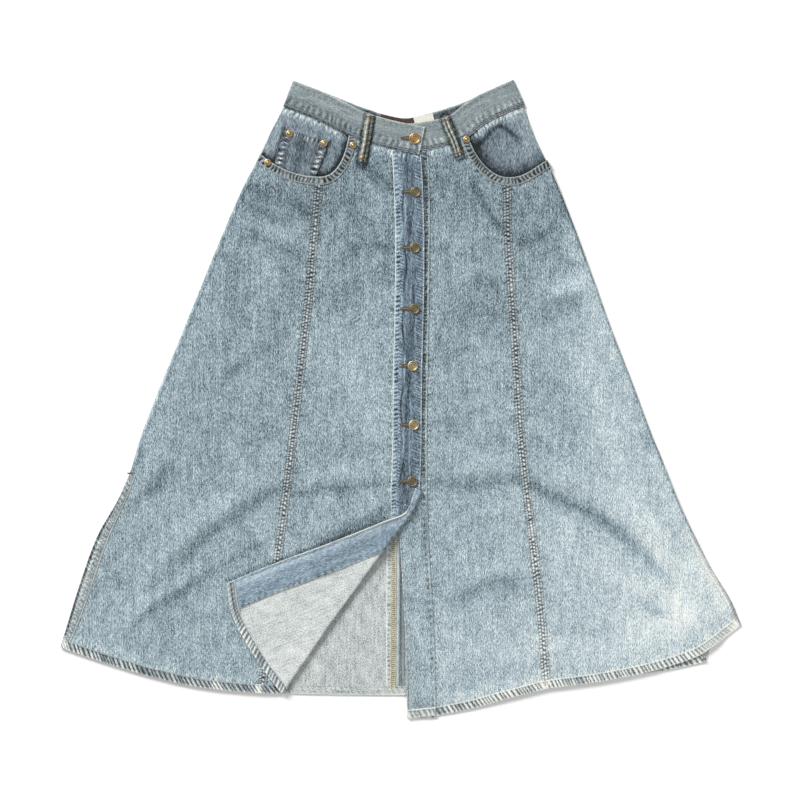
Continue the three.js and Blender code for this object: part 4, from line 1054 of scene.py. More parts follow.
# The waistband and pocket bands are the same twill, greyer from handling.
GREY_STOPS = [(0.0, "#22272a"), (0.15, "#424a4e"), (0.32, "#646f73"), (0.5, "#858f92"), (0.7, "#a8b1b2"),
              (0.85, "#cacecb"), (1.0, "#ecebe2")]
GREY_SPECKLES = [Speckle(1.1, 2.6, 0.7, 1.0), Speckle(3.0, 14.0, 0.28, 1.0), Speckle(8.0, 45.0, 0.18, 1.0)]
BAND_DENIM = Woven("handled_denim_twill", GREY_STOPS, GREY_SPECKLES)
# Belt loops rub on every belt and chair: their ridges show the undyed cream core of the yarn.
LOOP_STOPS = [(0.0, "#232523"), (0.15, "#434844"), (0.32, "#686e69"), (0.5, "#8b908a"), (0.7, "#b4b5a9"),
              (0.85, "#d6d3c4"), (1.0, "#efe9d9")]
LOOP_DENIM = Woven("rubbed_loop_denim_twill", LOOP_STOPS, GREY_SPECKLES)
# The outside, inside and edge of a piece of cloth.
BLUE_CLOTH = (DENIM, DENIM_INSIDE, WORN_EDGE)
RUBBED_CLOTH = (RUBBED_DENIM, DENIM_INSIDE, WORN_EDGE)
BAND_FACES = (BAND_DENIM, DENIM_INSIDE, WORN_EDGE)
SHADED_CLOTH = (POCKET_DENIM, DENIM_INSIDE, WORN_EDGE)
INSIDE_UP = (DENIM_INSIDE, DENIM, WORN_EDGE)
GREY_UP = (BAND_DENIM, DENIM, WORN_EDGE)
# Polyester-cotton topstitching thread, spun, dyed and then faded by the wash: matt, and paler where it is rubbed.
# Real thread is 0.5 mm thick, too fine to show, so it is drawn 0.7 to 0.9 mm thick, and the chain's loops 1.7 mm.
ECRU_THREAD = Plain("faded_topstitch_thread", "#7f7f76", "#b4b2a4", 2.0, 0.75)
TAN_THREAD = Plain("tan_topstitch_thread", "#6f6352", "#a39784", 2.0, 0.7)
BUTTONHOLE_THREAD = Plain("olive_brown_buttonhole_thread", "#38342b", "#7b7362", 1.6, 0.75)
GOLD_THREAD = Plain("gold_chain_stitch_thread", "#c9b06c", "#fbecb2", 2.0, 0.65)
NAVY_THREAD = Plain("navy_hem_thread", "#4a5361", "#8590a0", 2.0, 0.75)
RUST_THREAD = Plain("rust_bar_tack_thread", "#5e4029", "#a0754e", 1.4, 0.75)
# Die-cast zinc tack buttons with a thin antique brass plate: dull brown where it is whole, pale where it is rubbed.
# The waist button is plated with copper, and two of the lower buttons are rubbed brighter.
BUTTON_METAL = Plain("tarnished_brass_plated_zinc", "#2a251d", "#8e8368", 2.6, 0.45, 0.85, 0.4, by_tone=True)
BRIGHT_BUTTON_METAL = Plain("rubbed_brass_plated_zinc", "#3d3527", "#cdbd93", 2.6, 0.36, 0.85, 0.4, by_tone=True)
WAIST_BUTTON_METAL = Plain("rubbed_copper_plated_zinc", "#4a3524", "#d6ad7c", 2.6, 0.34, 0.85, 0.4, by_tone=True)
# Pressed brass rivets with a worn copper plate: brown in the hollow, pale on the rim and the point.
RIVET_METAL = Plain("worn_copper_plated_brass", "#4a3a24", "#c9b184", 1.8, 0.38, 0.85, 0.4, by_tone=True)
# Leather dyed dark brown, cut and pressed: a matt patch with a fine grain.
BROWN_LEATHER = Plain("dark_brown_label_leather", "#23150f", "#4c2f22", 3.0, 0.6)
# Woven polyester tape: an even off-white with a faint rib.
LABEL_TAPE = Plain("off_white_woven_label_tape", "#c4c3b8", "#dedcd0", 1.2, 0.85)


def attach(mesh: bpy.types.Mesh, name: str, kind: str, values: Array) -> None:
    """Gives a mesh a value at each point for its finish to read."""
    key = "vector" if kind == "FLOAT_VECTOR" else "value"
    mesh.attributes.new(name, kind, "POINT").data.foreach_set(key, np.ascontiguousarray(values, np.float32).ravel())


@dataclass
class Maker:
    """Turns grids into solid pieces of cloth, dresses them and seats them on the frame."""

    materials: dict[str, bpy.types.Material] = field(default_factory=dict)

    def material(self, finish: Woven | Plain) -> bpy.types.Material:
        """The material of a finish, made once.

        Args:
            finish: the finish.

        Returns:
            Its material.
        """
        if finish.name not in self.materials:
            self.materials[finish.name] = finish.build()
        return self.materials[finish.name]

    def mesh(self, name: str, vertices: Array, faces: list, finishes: Sequence[Woven | Plain]) -> bpy.types.Object:
        """An object with a smooth-shaded mesh.

        Args:
            name: the piece's name.
            vertices: its points, in millimetres.
            faces: the numbers of each face's points.
            finishes: the finishes of its material slots.

        Returns:
            The object.
        """
        mesh = bpy.data.meshes.new(name)
        mesh.from_pydata((vertices * MM).tolist(), [], faces)
        for finish in finishes:
            mesh.materials.append(self.material(finish))
        mesh.shade_smooth()
        piece = bpy.data.objects.new(name, mesh)
        bpy.context.scene.collection.objects.link(piece)
        return piece

    def cloth(self, name: str, grids: Sequence[Grid], thickness: float = CLOTH,
              finishes: Sequence[Woven | Plain] = BLUE_CLOTH) -> bpy.types.Object:
        """A closed wall of cloth over grids that share their edges.

        Args:
            name: the piece's name.
            grids: the grids of its middle surface.
            thickness: how thick the wall is, in millimetres.
            finishes: the finishes of its outside, inside and edge.

        Returns:
            The piece.
        """
        faces, start = [], 0
        for grid in grids:
            rows, columns = grid.tone.shape
            index = start + np.arange(rows * columns).reshape(rows, columns)
            quads = np.stack([index[:-1, :-1], index[1:, :-1], index[1:, 1:], index[:-1, 1:]], -1)
            faces += quads.reshape(-1, 4).tolist()
            start += rows * columns
        vertices = np.vstack([g.points.reshape(-1, 3) for g in grids])
        piece = self.mesh(name, vertices, faces, finishes)
        weave = np.vstack([np.pad(g.weave.reshape(-1, 2), ((0, 0), (0, 1))) for g in grids])
        attach(piece.data, "weave", "FLOAT_VECTOR", weave)
        for key in ("tone", "gap", "run"):
            attach(piece.data, key, "FLOAT", np.concatenate([getattr(g, key).ravel() for g in grids]))
        if len(grids) > 1:
            weld = piece.modifiers.new("weld", "WELD")
            weld.merge_threshold = 0.02 * MM
        solid = piece.modifiers.new("wall", "SOLIDIFY")
        solid.thickness = thickness * MM
        solid.offset = 0.0
        solid.material_offset = 1
        solid.material_offset_rim = 2
        return self.applied(piece)

    @staticmethod
    def applied(piece: bpy.types.Object) -> bpy.types.Object:
        """The piece with its modifiers made part of its mesh.

        Args:
            piece: the piece.

        Returns:
            The same piece.
        """
        evaluated = piece.evaluated_get(bpy.context.evaluated_depsgraph_get())
        mesh = bpy.data.meshes.new_from_object(evaluated)
        piece.modifiers.clear()
        piece.data = mesh
        mesh.set_sharp_from_angle(angle=math.radians(50))
        return piece

    @staticmethod
    def seat(piece: bpy.types.Object, slot: str, *nodes: str) -> bpy.types.Object:
        """Seats a piece on the frame in place of CAD nodes.

        Args:
            piece: the piece.
            slot: not used.
            *nodes: the CAD nodes that it stands for.

        Returns:
            The same piece.
        """
        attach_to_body(piece, "root")
        if nodes:
            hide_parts(*nodes)
        count = len(piece.data.polygons)
        LOG.info("%s: %d faces%s", piece.name, count, f", stands for {', '.join(nodes)}" if nodes else "")
        return piece


MAKER = Maker()


@dataclass
class Stitching:
    """Rows of stitches, each a rounded grain of thread on the cloth."""

    name: str
    finish: Plain = ECRU_THREAD
    pitch: float = 3.3
    length: float = 2.5
    radius: float = 0.42
    sides: int = 5
    starts: list = field(default_factory=list)
    ends: list = field(default_factory=list)

    def along(self, path: Array) -> "Stitching":
        """Lays a row of stitches along a path in space.

        Args:
            path: the path's points.

        Returns:
            This stitching.
        """
        reach = reach_of(path)
        places = np.arange(self.pitch / 2, reach[-1] - self.length, self.pitch)
        for places_at, kept in ((places, self.starts), (places + self.length, self.ends)):
            kept.append(np.stack([np.interp(places_at, reach, path[:, k]) for k in range(3)], -1))
        return self

    def single(self, start: Array, end: Array) -> "Stitching":
        """Lays one stitch from start to end.

        Args:
            start: one start or several.
            end: as many ends.

        Returns:
            This stitching.
        """
        self.starts.append(np.atleast_2d(start))
        self.ends.append(np.atleast_2d(end))
        return self

    def build(self) -> bpy.types.Object:
        """All the stitches as one piece.

        Returns:
            The piece.
        """
        a, b = np.vstack(self.starts), np.vstack(self.ends)
        ahead = (b - a) / (np.linalg.norm(b - a, axis=1, keepdims=True) + 1e-9)
        aside = np.cross(ahead, [0, 0, 1.0])
        aside /= np.linalg.norm(aside, axis=1, keepdims=True) + 1e-9
        up = np.cross(aside, ahead)
        angles = np.arange(self.sides) * 2 * math.pi / self.sides
        ring = aside[:, None] * np.cos(angles)[None, :, None] + up[:, None] * np.sin(angles)[None, :, None]
        ring = ring * self.radius
        quarter = (b - a)[:, None] * 0.22
        stitch = np.concatenate([a[:, None], a[:, None] + quarter + ring, b[:, None] - quarter + ring, b[:, None]], 1)
        n = self.sides
        faces = [(0, 1 + (i + 1) % n, 1 + i) for i in range(n)]
        faces += [(1 + i, 1 + (i + 1) % n, 1 + n + (i + 1) % n, 1 + n + i) for i in range(n)]
        faces += [(1 + 2 * n, 1 + n + i, 1 + n + (i + 1) % n) for i in range(n)]
        size = 2 * n + 2
        every = [tuple(v + size * k for v in face) for k in range(len(a)) for face in faces]
        return MAKER.mesh(self.name, stitch.reshape(-1, 3), every, [self.finish])

    def sewn(self, slot: str = "denim") -> bpy.types.Object:
        """Makes the stitches and seats them on the frame."""
        return MAKER.seat(self.build(), slot)


def top_of(base: Height, thickness: float = CLOTH) -> Height:
    """The height function of the upper face of cloth that lies on a base."""
    return lambda x, y: base(x, y) + thickness


def height_at(surface: Height, x: float, y: float) -> float:
    """The height of a surface at one place."""
    return float(surface(np.array([float(x)]), np.array([float(y)]))[0])


def rows_down(count: int, length: float) -> Array:
    """Shares of a length, close together at its start and in even steps after that."""
    first = np.array([0, 1.2, 2.4, 3.8, 5.4, 7.2, 9.2, 11.6]) / length
    return np.concatenate([first, np.linspace(first[-1], 1, count - len(first) + 1)[1:]])


@dataclass
class Back:
    """The back: two flared panels with the wrong side up, and the felled seam between them."""

    hem: float = HEM_DEPTH
    rise: float = 0.05
    tone: float = 0.43
    rows: int = 120
    columns: int = 36

    def panel(self, is_right: bool) -> Grid:
        """One back panel, lying on the surface.

        Args:
            is_right: whether it is on the wearer's right.

        Returns:
            The panel's grid.
        """
        shares = np.linspace(0, 1, self.rows)
        side = Line.through(BACK_SIDE_RIGHT if is_right else BACK_SIDE_LEFT).at(shares)
        middle = Line.through(BACK_CENTRE).at(shares)
        left, right = (side, middle) if is_right else (middle, side)
        top = across_line(SEAM_BACK, left[0, 0], right[0, 0])
        bottom = across_line(HEM_BACK, left[-1, 0], right[-1, 0])
        plan = cut_out(left, right, top, bottom, self.columns)
        seams = [(Line.through(BACK_CENTRE), 7), (Line.through(HEM_BACK), 12)]
        return Grid.over(plan, np.full(plan.shape[:2], self.rise), self.tone).beside(seams)

    @staticmethod
    def sewn(s: Array, run: Array) -> tuple[Array, Array]:
        """The fell of the centre seam: pale puckers, and a dark bed under the chain stitch.

        Args:
            s: the distance across the strip.
            run: the distance along it.

        Returns:
            The height and the change of tone.
        """
        drawn = Gathers(6.8, 11).wave(run) * hump(s, 4.5, 3)
        bed = np.exp(-(((s - 10.6) / 3.4) ** 4))
        return -0.4 * drawn, 0.25 * hump(s, 0, 1.3) - 0.6 * drawn - 0.55 * bed

    @staticmethod
    def allowance(s: Array, run: Array) -> tuple[Array, Array]:
        """The blue side of the allowance beside the chain stitch, with painted shade in its two creases.

        Args:
            s: the distance across the strip.
            run: the distance along it.

        Returns:
            The height and the change of tone.
        """
        first, second = 4.0 + 1.3 * np.sin(run / 90), 7.6 + 0.9 * np.sin(run / 70 + 1)
        lines = sum(hump(s, at, 0.8) for at in (first, second))
        return -0.3 * lines, 0.22 - 0.24 * smoothstep(s, 2, 5) - 0.24 * lines + 0.1 * smoothstep(s, 9, 11)

    @staticmethod
    def slit_edge(s: Array, run: Array) -> tuple[Array, Array]:
        """The turned edge of the slit: dark flecks outside, a pale ridge inside.

        Args:
            s: the distance across the strip.
            run: the distance along it.

        Returns:
            The height and the change of tone.
        """
        flecks = Gathers(6.4, 13).uneven(run + 1.6 * np.sin(0.9 * s))
        fray = Gathers(3.1, 14).uneven(run - 0.6 * s)
        outer = hump(s, 2.0, 1.9)
        return 0.3 * flecks, 0.2 * smoothstep(s, 3, 5) - 0.34 * outer + 0.5 * flecks + 0.6 * fray

    @staticmethod
    def roped(s: Array, run: Array) -> tuple[Array, Array]:
        """The back hem, roped more strongly towards the wearer's left.

        Args:
            s: the distance across the strip.
            run: the distance along it.

        Returns:
            The height and the change of tone.
        """
        strength = 0.15 + 0.9 * smoothstep(run, 740, 840)
        wave = Gathers(7.4, 12).wave(run + 0.5 * s)
        folded = 0.3 * hump(s, 0, 1.6) - 0.1 * hump(s, 4.8, 1.2)
        return 0.4 * wave, strength * (1.6 * wave - 0.6) + folded

    def build(self) -> None:
        """Makes the panels, their turned hem and the centre seam with its chain stitch."""
        on_back = top_of(lambda x, y: np.zeros_like(x), CLOTH + self.rise)
        centre = Line.through(BACK_CENTRE)
        stretch = centre.part(6, centre.length - 3)
        grid = Ribbon(stretch, on_back, 5.5, 9.5, 0.6, step=1.8, columns=14, pattern=self.sewn).grid()
        seam_piece = MAKER.cloth("back_seam_fell", [grid], BAND_CLOTH, INSIDE_UP)
        chain = Stitching("back_seam_chain_stitch", GOLD_THREAD, 3.0, 2.2, 0.85)
        for share in (0.5, 0.63, 0.76, 0.89):
            chain.along(grid.line(share, BAND_CLOTH / 2 + THREAD_LIFT))
        threads = chain.sewn("denim_inside")
        MAKER.seat(seam_piece, "denim_inside", "back_centre_seam")
        beside = Ribbon(stretch, on_back, 17.5, -6.2, 0.5, step=1.8, columns=12, pattern=self.allowance)
        beside_piece = MAKER.cloth("back_seam_allowance", [beside.grid()], BAND_CLOTH, GREY_UP)
        MAKER.seat(beside_piece, "denim_inside")
        hem = Ribbon(Line.through(HEM_BACK), on_back, self.hem, 0.0, lambda x, y: 0.42 + 0.1 * smoothstep(x, 200, 300),
                     step=1.8, columns=10, pattern=self.roped)
        hem_piece = MAKER.seat(MAKER.cloth("back_hem_turn", [hem.grid()], BAND_CLOTH, INSIDE_UP), "denim_inside")
        hem_threads = Stitching("back_hem_stitches").along(hem.grid().line(0.9, 0.6)).sewn("denim_inside")
        slit_line = down_line(BACK_SIDE_RIGHT, (-407, -112), (-508.5, -365))
        slit = Ribbon(slit_line, on_back, 11.0, 0.0, 0.5, step=1.5, columns=14, pattern=self.slit_edge)
        slit_piece = MAKER.seat(MAKER.cloth("back_right_slit_hem", [slit.grid()], BAND_CLOTH, GREY_UP), "denim_inside")
        sewn_on = [seam_piece, threads, beside_piece, hem_piece, hem_threads, slit_piece]
        for name, is_right, extra in (("right", True, sewn_on), ("left", False, [])):
            panel = MAKER.cloth(f"back_{name}_cloth", [self.panel(is_right)], CLOTH, INSIDE_UP)
            MAKER.seat(panel, "denim_inside", f"back_{name}_panel")


@dataclass
class SidePanels:
    """The two side panels of the front, from the pocket mouth to the hem."""

    rows: int = 250
    columns: int = 54

    def panel(self, is_right: bool) -> Grid:
        """One side panel.

        Args:
            is_right: whether it is on the wearer's right.

        Returns:
            The panel's grid.
        """
        shares = rows_down(self.rows, 790)
        princess = PRINCESS_RIGHT if is_right else PRINCESS_LEFT
        seam = princess.at(shares)
        if is_right:
            side = down_line(SIDE_RIGHT, (-208, 366), (-511, -372)).at(shares)
            left, right, top = side, seam, MOUTH_RIGHT_SIDE
            bottom = across_line(HEM_RIGHT, -511, -209.5)
        else:
            side = down_line(SIDE_LEFT, (220, 359), (510.5, -339)).at(shares)
            left, right, top = seam, side, MOUTH_LEFT_SIDE
            bottom = across_line(HEM_LEFT, 218.5, 510.5)
        plan = cut_out(left, right, top, bottom, self.columns)
        x, y = plan[..., 0], plan[..., 1]
        seams = [(princess, FELLED_SEAM / 2), (top, POCKET_BAND), (bottom, HEM_DEPTH)]
        return Grid.over(plan, LAY.panel(x, y), wash_and_shade(x, y)).beside(seams)

    def build(self) -> None:
        """Makes both side panels."""
        sides = (("right", True, (0.335, 0.84), 0.167), ("left", False, (0.31, 0.80), 0.144))
        for name, is_right, flat, area in sides:
            panel = MAKER.cloth(f"front_{name}_side_cloth", [self.panel(is_right)])
            MAKER.seat(panel, "denim", f"front_{name}_side_panel")


@dataclass
class CentrePanels:
    """The two centre panels of the front, the right one with its lower corner turned back."""

    rows: int = 250
    columns: int = 40
    turn_steps: int = 8
    turn_edge: Sequence[float] = (0.0, 1.4, 3.2)
    turn_tone: float = 0.56
    flap_columns: int = 46
    apex_y: float = -124.0
    edge_lift: float = 4.5

    def left(self) -> Grid:
        """The centre panel that carries the buttons.

        Returns:
            The panel's grid.
        """
        seam_side = Line.joined(MOUTH_LEFT_WAIST, PRINCESS_LEFT)
        shares = rows_down(self.rows, 830)
        edge = down_line(UNDERLAP_EDGE, (-2, float(level(SEAM_FRONT_LEFT, -2))), (10, -479)).at(shares)
        top, bottom = across_line(SEAM_FRONT_LEFT, -2, 102), across_line(HEM_LEFT, 10, 218.5)
        plan = cut_out(edge, seam_side.at(shares), top, bottom, self.columns)
        x, y = plan[..., 0], plan[..., 1]
        down = np.linspace(366, -470, 200)
        band = Line(np.column_stack([crossing(UNDERLAP_EDGE, down) + PLACKET, down]))
        seams = [(PRINCESS_LEFT, FELLED_SEAM / 2), (MOUTH_LEFT_WAIST, POCKET_BAND), (band, 0.5), (bottom, HEM_DEPTH)]
        return Grid.over(plan, LAY.panel(x, y), wash_and_shade(x, y)).beside(seams).gathered(top, 81)

    def right(self) -> tuple[Grid, Grid]:
        """The centre panel with the buttonholes, and its turned-back corner.

        Returns:
            The grids of the panel and of its corner, which share the fold.
        """
        seam_side = Line.joined(MOUTH_RIGHT_WAIST.reversed(), PRINCESS_RIGHT)
        turn = float(seam_side.reach[np.argmax(seam_side.dense[:, 1] < self.apex_y)]) / seam_side.length
        above = int(self.rows * turn)
        below = self.rows - above
        upper, lower = rows_down(above, 520), np.linspace(0, 1, below + 1)[1:]
        left = seam_side.at(np.concatenate([upper * turn, turn + lower * (1 - turn)]))
        edge = down_line(OVERLAP_EDGE, (30, float(level(SEAM_FRONT_RIGHT, 30))), FOLD_LINE[0]).at(upper)
        fold = Line.through(FOLD_LINE).at(np.concatenate([[0], lower]))
        top = across_line(SEAM_FRONT_RIGHT, -78, 30)
        bottom = across_line(HEM_RIGHT, -209.5, -179.5)
        plan = cut_out(left, np.vstack([edge, fold[1:]]), top, bottom, self.columns)
        x, y = plan[..., 0], plan[..., 1]
        band = Line.through(OVERLAP_EDGE).moved(-PLACKET)
        seams = [(PRINCESS_RIGHT, FELLED_SEAM / 2), (MOUTH_RIGHT_WAIST, POCKET_BAND), (band, 0.5)]
        panel = Grid.over(plan, LAY.panel_over(x, y), wash_and_shade(x, y)).beside(seams).gathered(top, 82)
        return panel, self.flap(panel.points[above - 1:, -1], np.concatenate([[0], lower]))

    def flap(self, fold: Array, shares: Array) -> Grid:
        """The corner that is turned back, from the fold round to its free edges, with its wrong side up.

        Args:
            fold: the points of the fold, on the panel.
            shares: where each row lies along it.

        Returns:
            The corner's grid.
        """
        edge = Line.through(FLAP_EDGE).at(shares)
        plan_fold = fold[:, :2]
        widths = np.linalg.norm(edge - plan_fold, axis=1)
        across = spread(widths, self.turn_edge, NEAR_EDGE, self.flap_columns - len(NEAR_EDGE) + 1)
        top, bottom = Line(np.stack([plan_fold[0], edge[0]])), Line.through(FLAP_HEM)
        plan = quilt(plan_fold, edge, top, bottom, across)
        x, y = plan[..., 0], plan[..., 1]
        lift = self.edge_lift * np.sin(math.pi * np.minimum(1, shares * 1.15))[:, None] * across ** 3
        sag = 0.7 * np.sin(math.pi * across) * np.sin(math.pi * shares)[:, None]
        sag = sag * np.sin(6 * across + 5 * shares[:, None])
        height = LAY.panel_over(x, y) + CLOTH / 2 + 2 * TURN_RADIUS + lift + sag
        upper = np.concatenate([plan, height[..., None]], -1)
        outward = left_of(plan_fold)
        radius = (upper[:, 0, 2] - fold[:, 2]) / 2
        angles = math.pi * np.arange(self.turn_steps) / self.turn_steps
        turn = np.empty((len(fold), self.turn_steps, 3))
        turn[..., :2] = plan_fold[:, None] + outward[:, None] * (radius[:, None] * np.sin(angles))[..., None]
        turn[..., 2] = fold[:, 2:3] + radius[:, None] * (1 - np.cos(angles))
        points = np.concatenate([turn, upper], 1)
        # The round of the fold is painted darker where it faces sideways: painted shade that draws the fold's dark
        # line.
        round_turn = np.broadcast_to(self.turn_tone - 0.3 * np.sin(angles) ** 6, turn.shape[:2])
        tone = np.concatenate([round_turn, np.full(across.shape, self.turn_tone)], 1)
        grid = Grid.loose(points, tone, self.unfolded(points, plan_fold), np.zeros(tone.shape))
        return grid.beside([(Line(edge), PLACKET + 1), (bottom, HEM_DEPTH)])

    @staticmethod
    def unfolded(points: Array, fold: Array) -> Array:
        """Where the turned-back cloth would lie if it weren't folded, so that its grain runs as it was cut.

        Args:
            points: the cloth's points.
            fold: the points of the fold.

        Returns:
            Where they would lie.
        """
        direction = fold[-1] - fold[0]
        direction = direction / np.linalg.norm(direction)
        offset = points[..., :2] - fold[0]
        along = offset @ direction
        return fold[0] + 2 * along[..., None] * direction - offset

    def build(self) -> None:
        """Makes both centre panels."""
        left = MAKER.cloth("front_left_centre_cloth", [self.left()])
        MAKER.seat(left, "denim", "front_left_centre_panel")
        right = MAKER.cloth("front_right_centre_cloth", self.right())
        MAKER.seat(right, "denim", "front_right_centre_panel")


@dataclass
class Seams:
    """The felled princess seams and the roped hems of the front."""

    half: float = FELLED_SEAM / 2

    def strip(self, name: str, ribbon: Ribbon, stitch_shares: Sequence[float], node: str | None = None,
              thread: Plain = ECRU_THREAD) -> None:
        """Makes a strip with its rows of stitches.

        Args:
            name: the strip's name.
            ribbon: the strip.
            stitch_shares: where its rows of stitches lie, as shares of its width.
            node: the CAD node that it stands for.
            thread: the finish of its stitches.
        """
        grid = ribbon.grid()
        cloth = MAKER.cloth(name, [grid], ribbon.thickness, BAND_FACES)
        MAKER.seat(cloth, "denim", *([node] if node else []))
        rows = Stitching(f"{name}_stitches", thread, radius=0.34)
        for share in stitch_shares:
            rows.along(grid.line(share, ribbon.thickness / 2 + THREAD_LIFT))
        rows.sewn()

    def build(self) -> None:
        """Makes the seams and hems."""
        princess = (("right", PRINCESS_RIGHT, LAY.panel_over, 21), ("left", PRINCESS_LEFT, LAY.panel, 23))
        for name, line, base, seed in princess:
            seam = Ribbon(line.part(POCKET_BAND, line.length - HEM_DEPTH), top_of(base), self.half, self.half, wash_and_shade,
                          step=1.3, columns=20, pattern=self.felled(seed))
            self.strip(f"{name}_princess_fell", seam, (0.4, 0.76), f"{name}_princess_seam", NAVY_THREAD)
        hems = (
            ("right_side_hem", across_line(HEM_RIGHT, -511, -180), 31, NAVY_THREAD, 6.6, 0.0, 0.3, 0.8),
            ("left_centre_hem", across_line(HEM_LEFT, 53.5, 218.5), 32, ECRU_THREAD, 6.0, 0.16, 0.34, 0.4),
            ("left_side_hem", across_line(HEM_LEFT, 218.5, 510.5), 33, ECRU_THREAD, 5.8, 0.14, 0.3, 0.35),
        )
        for name, line, seed, thread, period, worn_top, worn_foot, slant in hems:
            hem = Ribbon(line, top_of(LAY.panel), HEM_DEPTH, 0.0, self.hem_tone, Pucker.ROPING, period, seed, 0.7, 0.64,
                         step=1.3, columns=14, worn_right=worn_foot, worn_left=worn_top, slant=slant,
                         smooth_after=222 if name == "left_side_hem" else FAR)
            self.strip(name, hem, (0.84,), thread=thread)
        corner = down_line(SIDE_LEFT, (437, -198), (510.5, -339))
        slit = Ribbon(corner, top_of(LAY.panel), 0.0, 7.0, wash_and_shade, step=1.5, columns=10, pattern=self.left_slit)
        self.strip("left_slit_hem", slit, (0.5,))
        edge = down_line(SIDE_RIGHT, (-407, -112), (-511, -372))
        turned = Ribbon(edge, top_of(LAY.panel), 10.0, 0.0, wash_and_shade, step=1.5, columns=16, pattern=self.right_slit)
        self.strip("right_slit_hem", turned, (0.72,))

    @staticmethod
    def felled(seed: int) -> Pattern:
        """How the three sewn lines of a flat-felled seam draw it up, its unevenness drawn from a seed.

        Args:
            seed: what the unevenness is drawn from.

        Returns:
            The pattern across and along the seam.
        """
        rungs, bites = Gathers(6.0, seed), Gathers(4.4, seed + 50)

        def drawn_up(s: Array, run: Array) -> tuple[Array, Array]:
            """The height and the change of tone across the seam and along it.

            Args:
                s: the distance across the strip.
                run: the distance along it.

            Returns:
                The height and the change of tone.
            """
            wide = rungs.uneven(run + 0.7 * np.sin(0.5 * s + run / 11))
            close = bites.uneven(run + 0.35 * s)
            lines = sum(depth * hump(s, at, 0.9) for at, depth in ((0.4, 0.34), (4.6, 0.4), (8.9, 0.3)))
            lanes = 1.2 * hump(s, 2.6, 1.4) * close + 1.35 * hump(s, 6.7, 1.9) * wide
            lanes = lanes + 0.9 * hump(s, 11, 1.6) * close
            return -0.6 * lanes - 0.9 * lines, 0.07 - lanes - lines * (0.9 + 1.4 * close)

        return drawn_up

    @staticmethod
    def right_slit(s: Array, run: Array) -> tuple[Array, Array]:
        """The turned edge of the right slit: flecked outside, with a pale ridge inside.

        Args:
            s: the distance across the strip.
            run: the distance along it.

        Returns:
            The height and the change of tone.
        """
        flecks = Gathers(6.6, 35).uneven(run + 1.4 * np.sin(0.9 * s))
        fray = Gathers(3.2, 36).uneven(run + 0.7 * s)
        window = 1 - smoothstep(s, 5.5, 8.5)
        ridge = 0.2 * hump(s, 9.2, 0.9) - 0.12 * hump(s, 7.4, 0.8)
        return 0.3 * flecks * window, ridge + (0.5 * flecks + 0.62 * fray) * window + 0.06

    @staticmethod
    def left_slit(s: Array, run: Array) -> tuple[Array, Array]:
        """The turned edge of the left slit, smooth above and flecked near the hem.

        Args:
            s: the distance across the strip.
            run: the distance along it.

        Returns:
            The height and the change of tone.
        """
        flecks = Gathers(4.8, 34).uneven(run + 0.6 * s)
        low = smoothstep(run, 95, 125)
        edge = 0.12 + 0.06 * hump(s, 0, 1.8)
        return 0.3 * flecks * low, edge - 0.04 * low + 0.6 * flecks * low

    @staticmethod
    def hem_tone(x: Array, y: Array) -> Array:
        """The tone of the hem, worn cream where the princess seams cross it and at its corners."""
        worn = sum(hump(x, at, reach) for at, reach in ((-213, 5.5), (218, 5.5), (-506, 8), (508, 9)))
        return wash_and_shade(x, y) + 0.01 + 0.07 * smoothstep(x, 0, 50) + 0.42 * worn


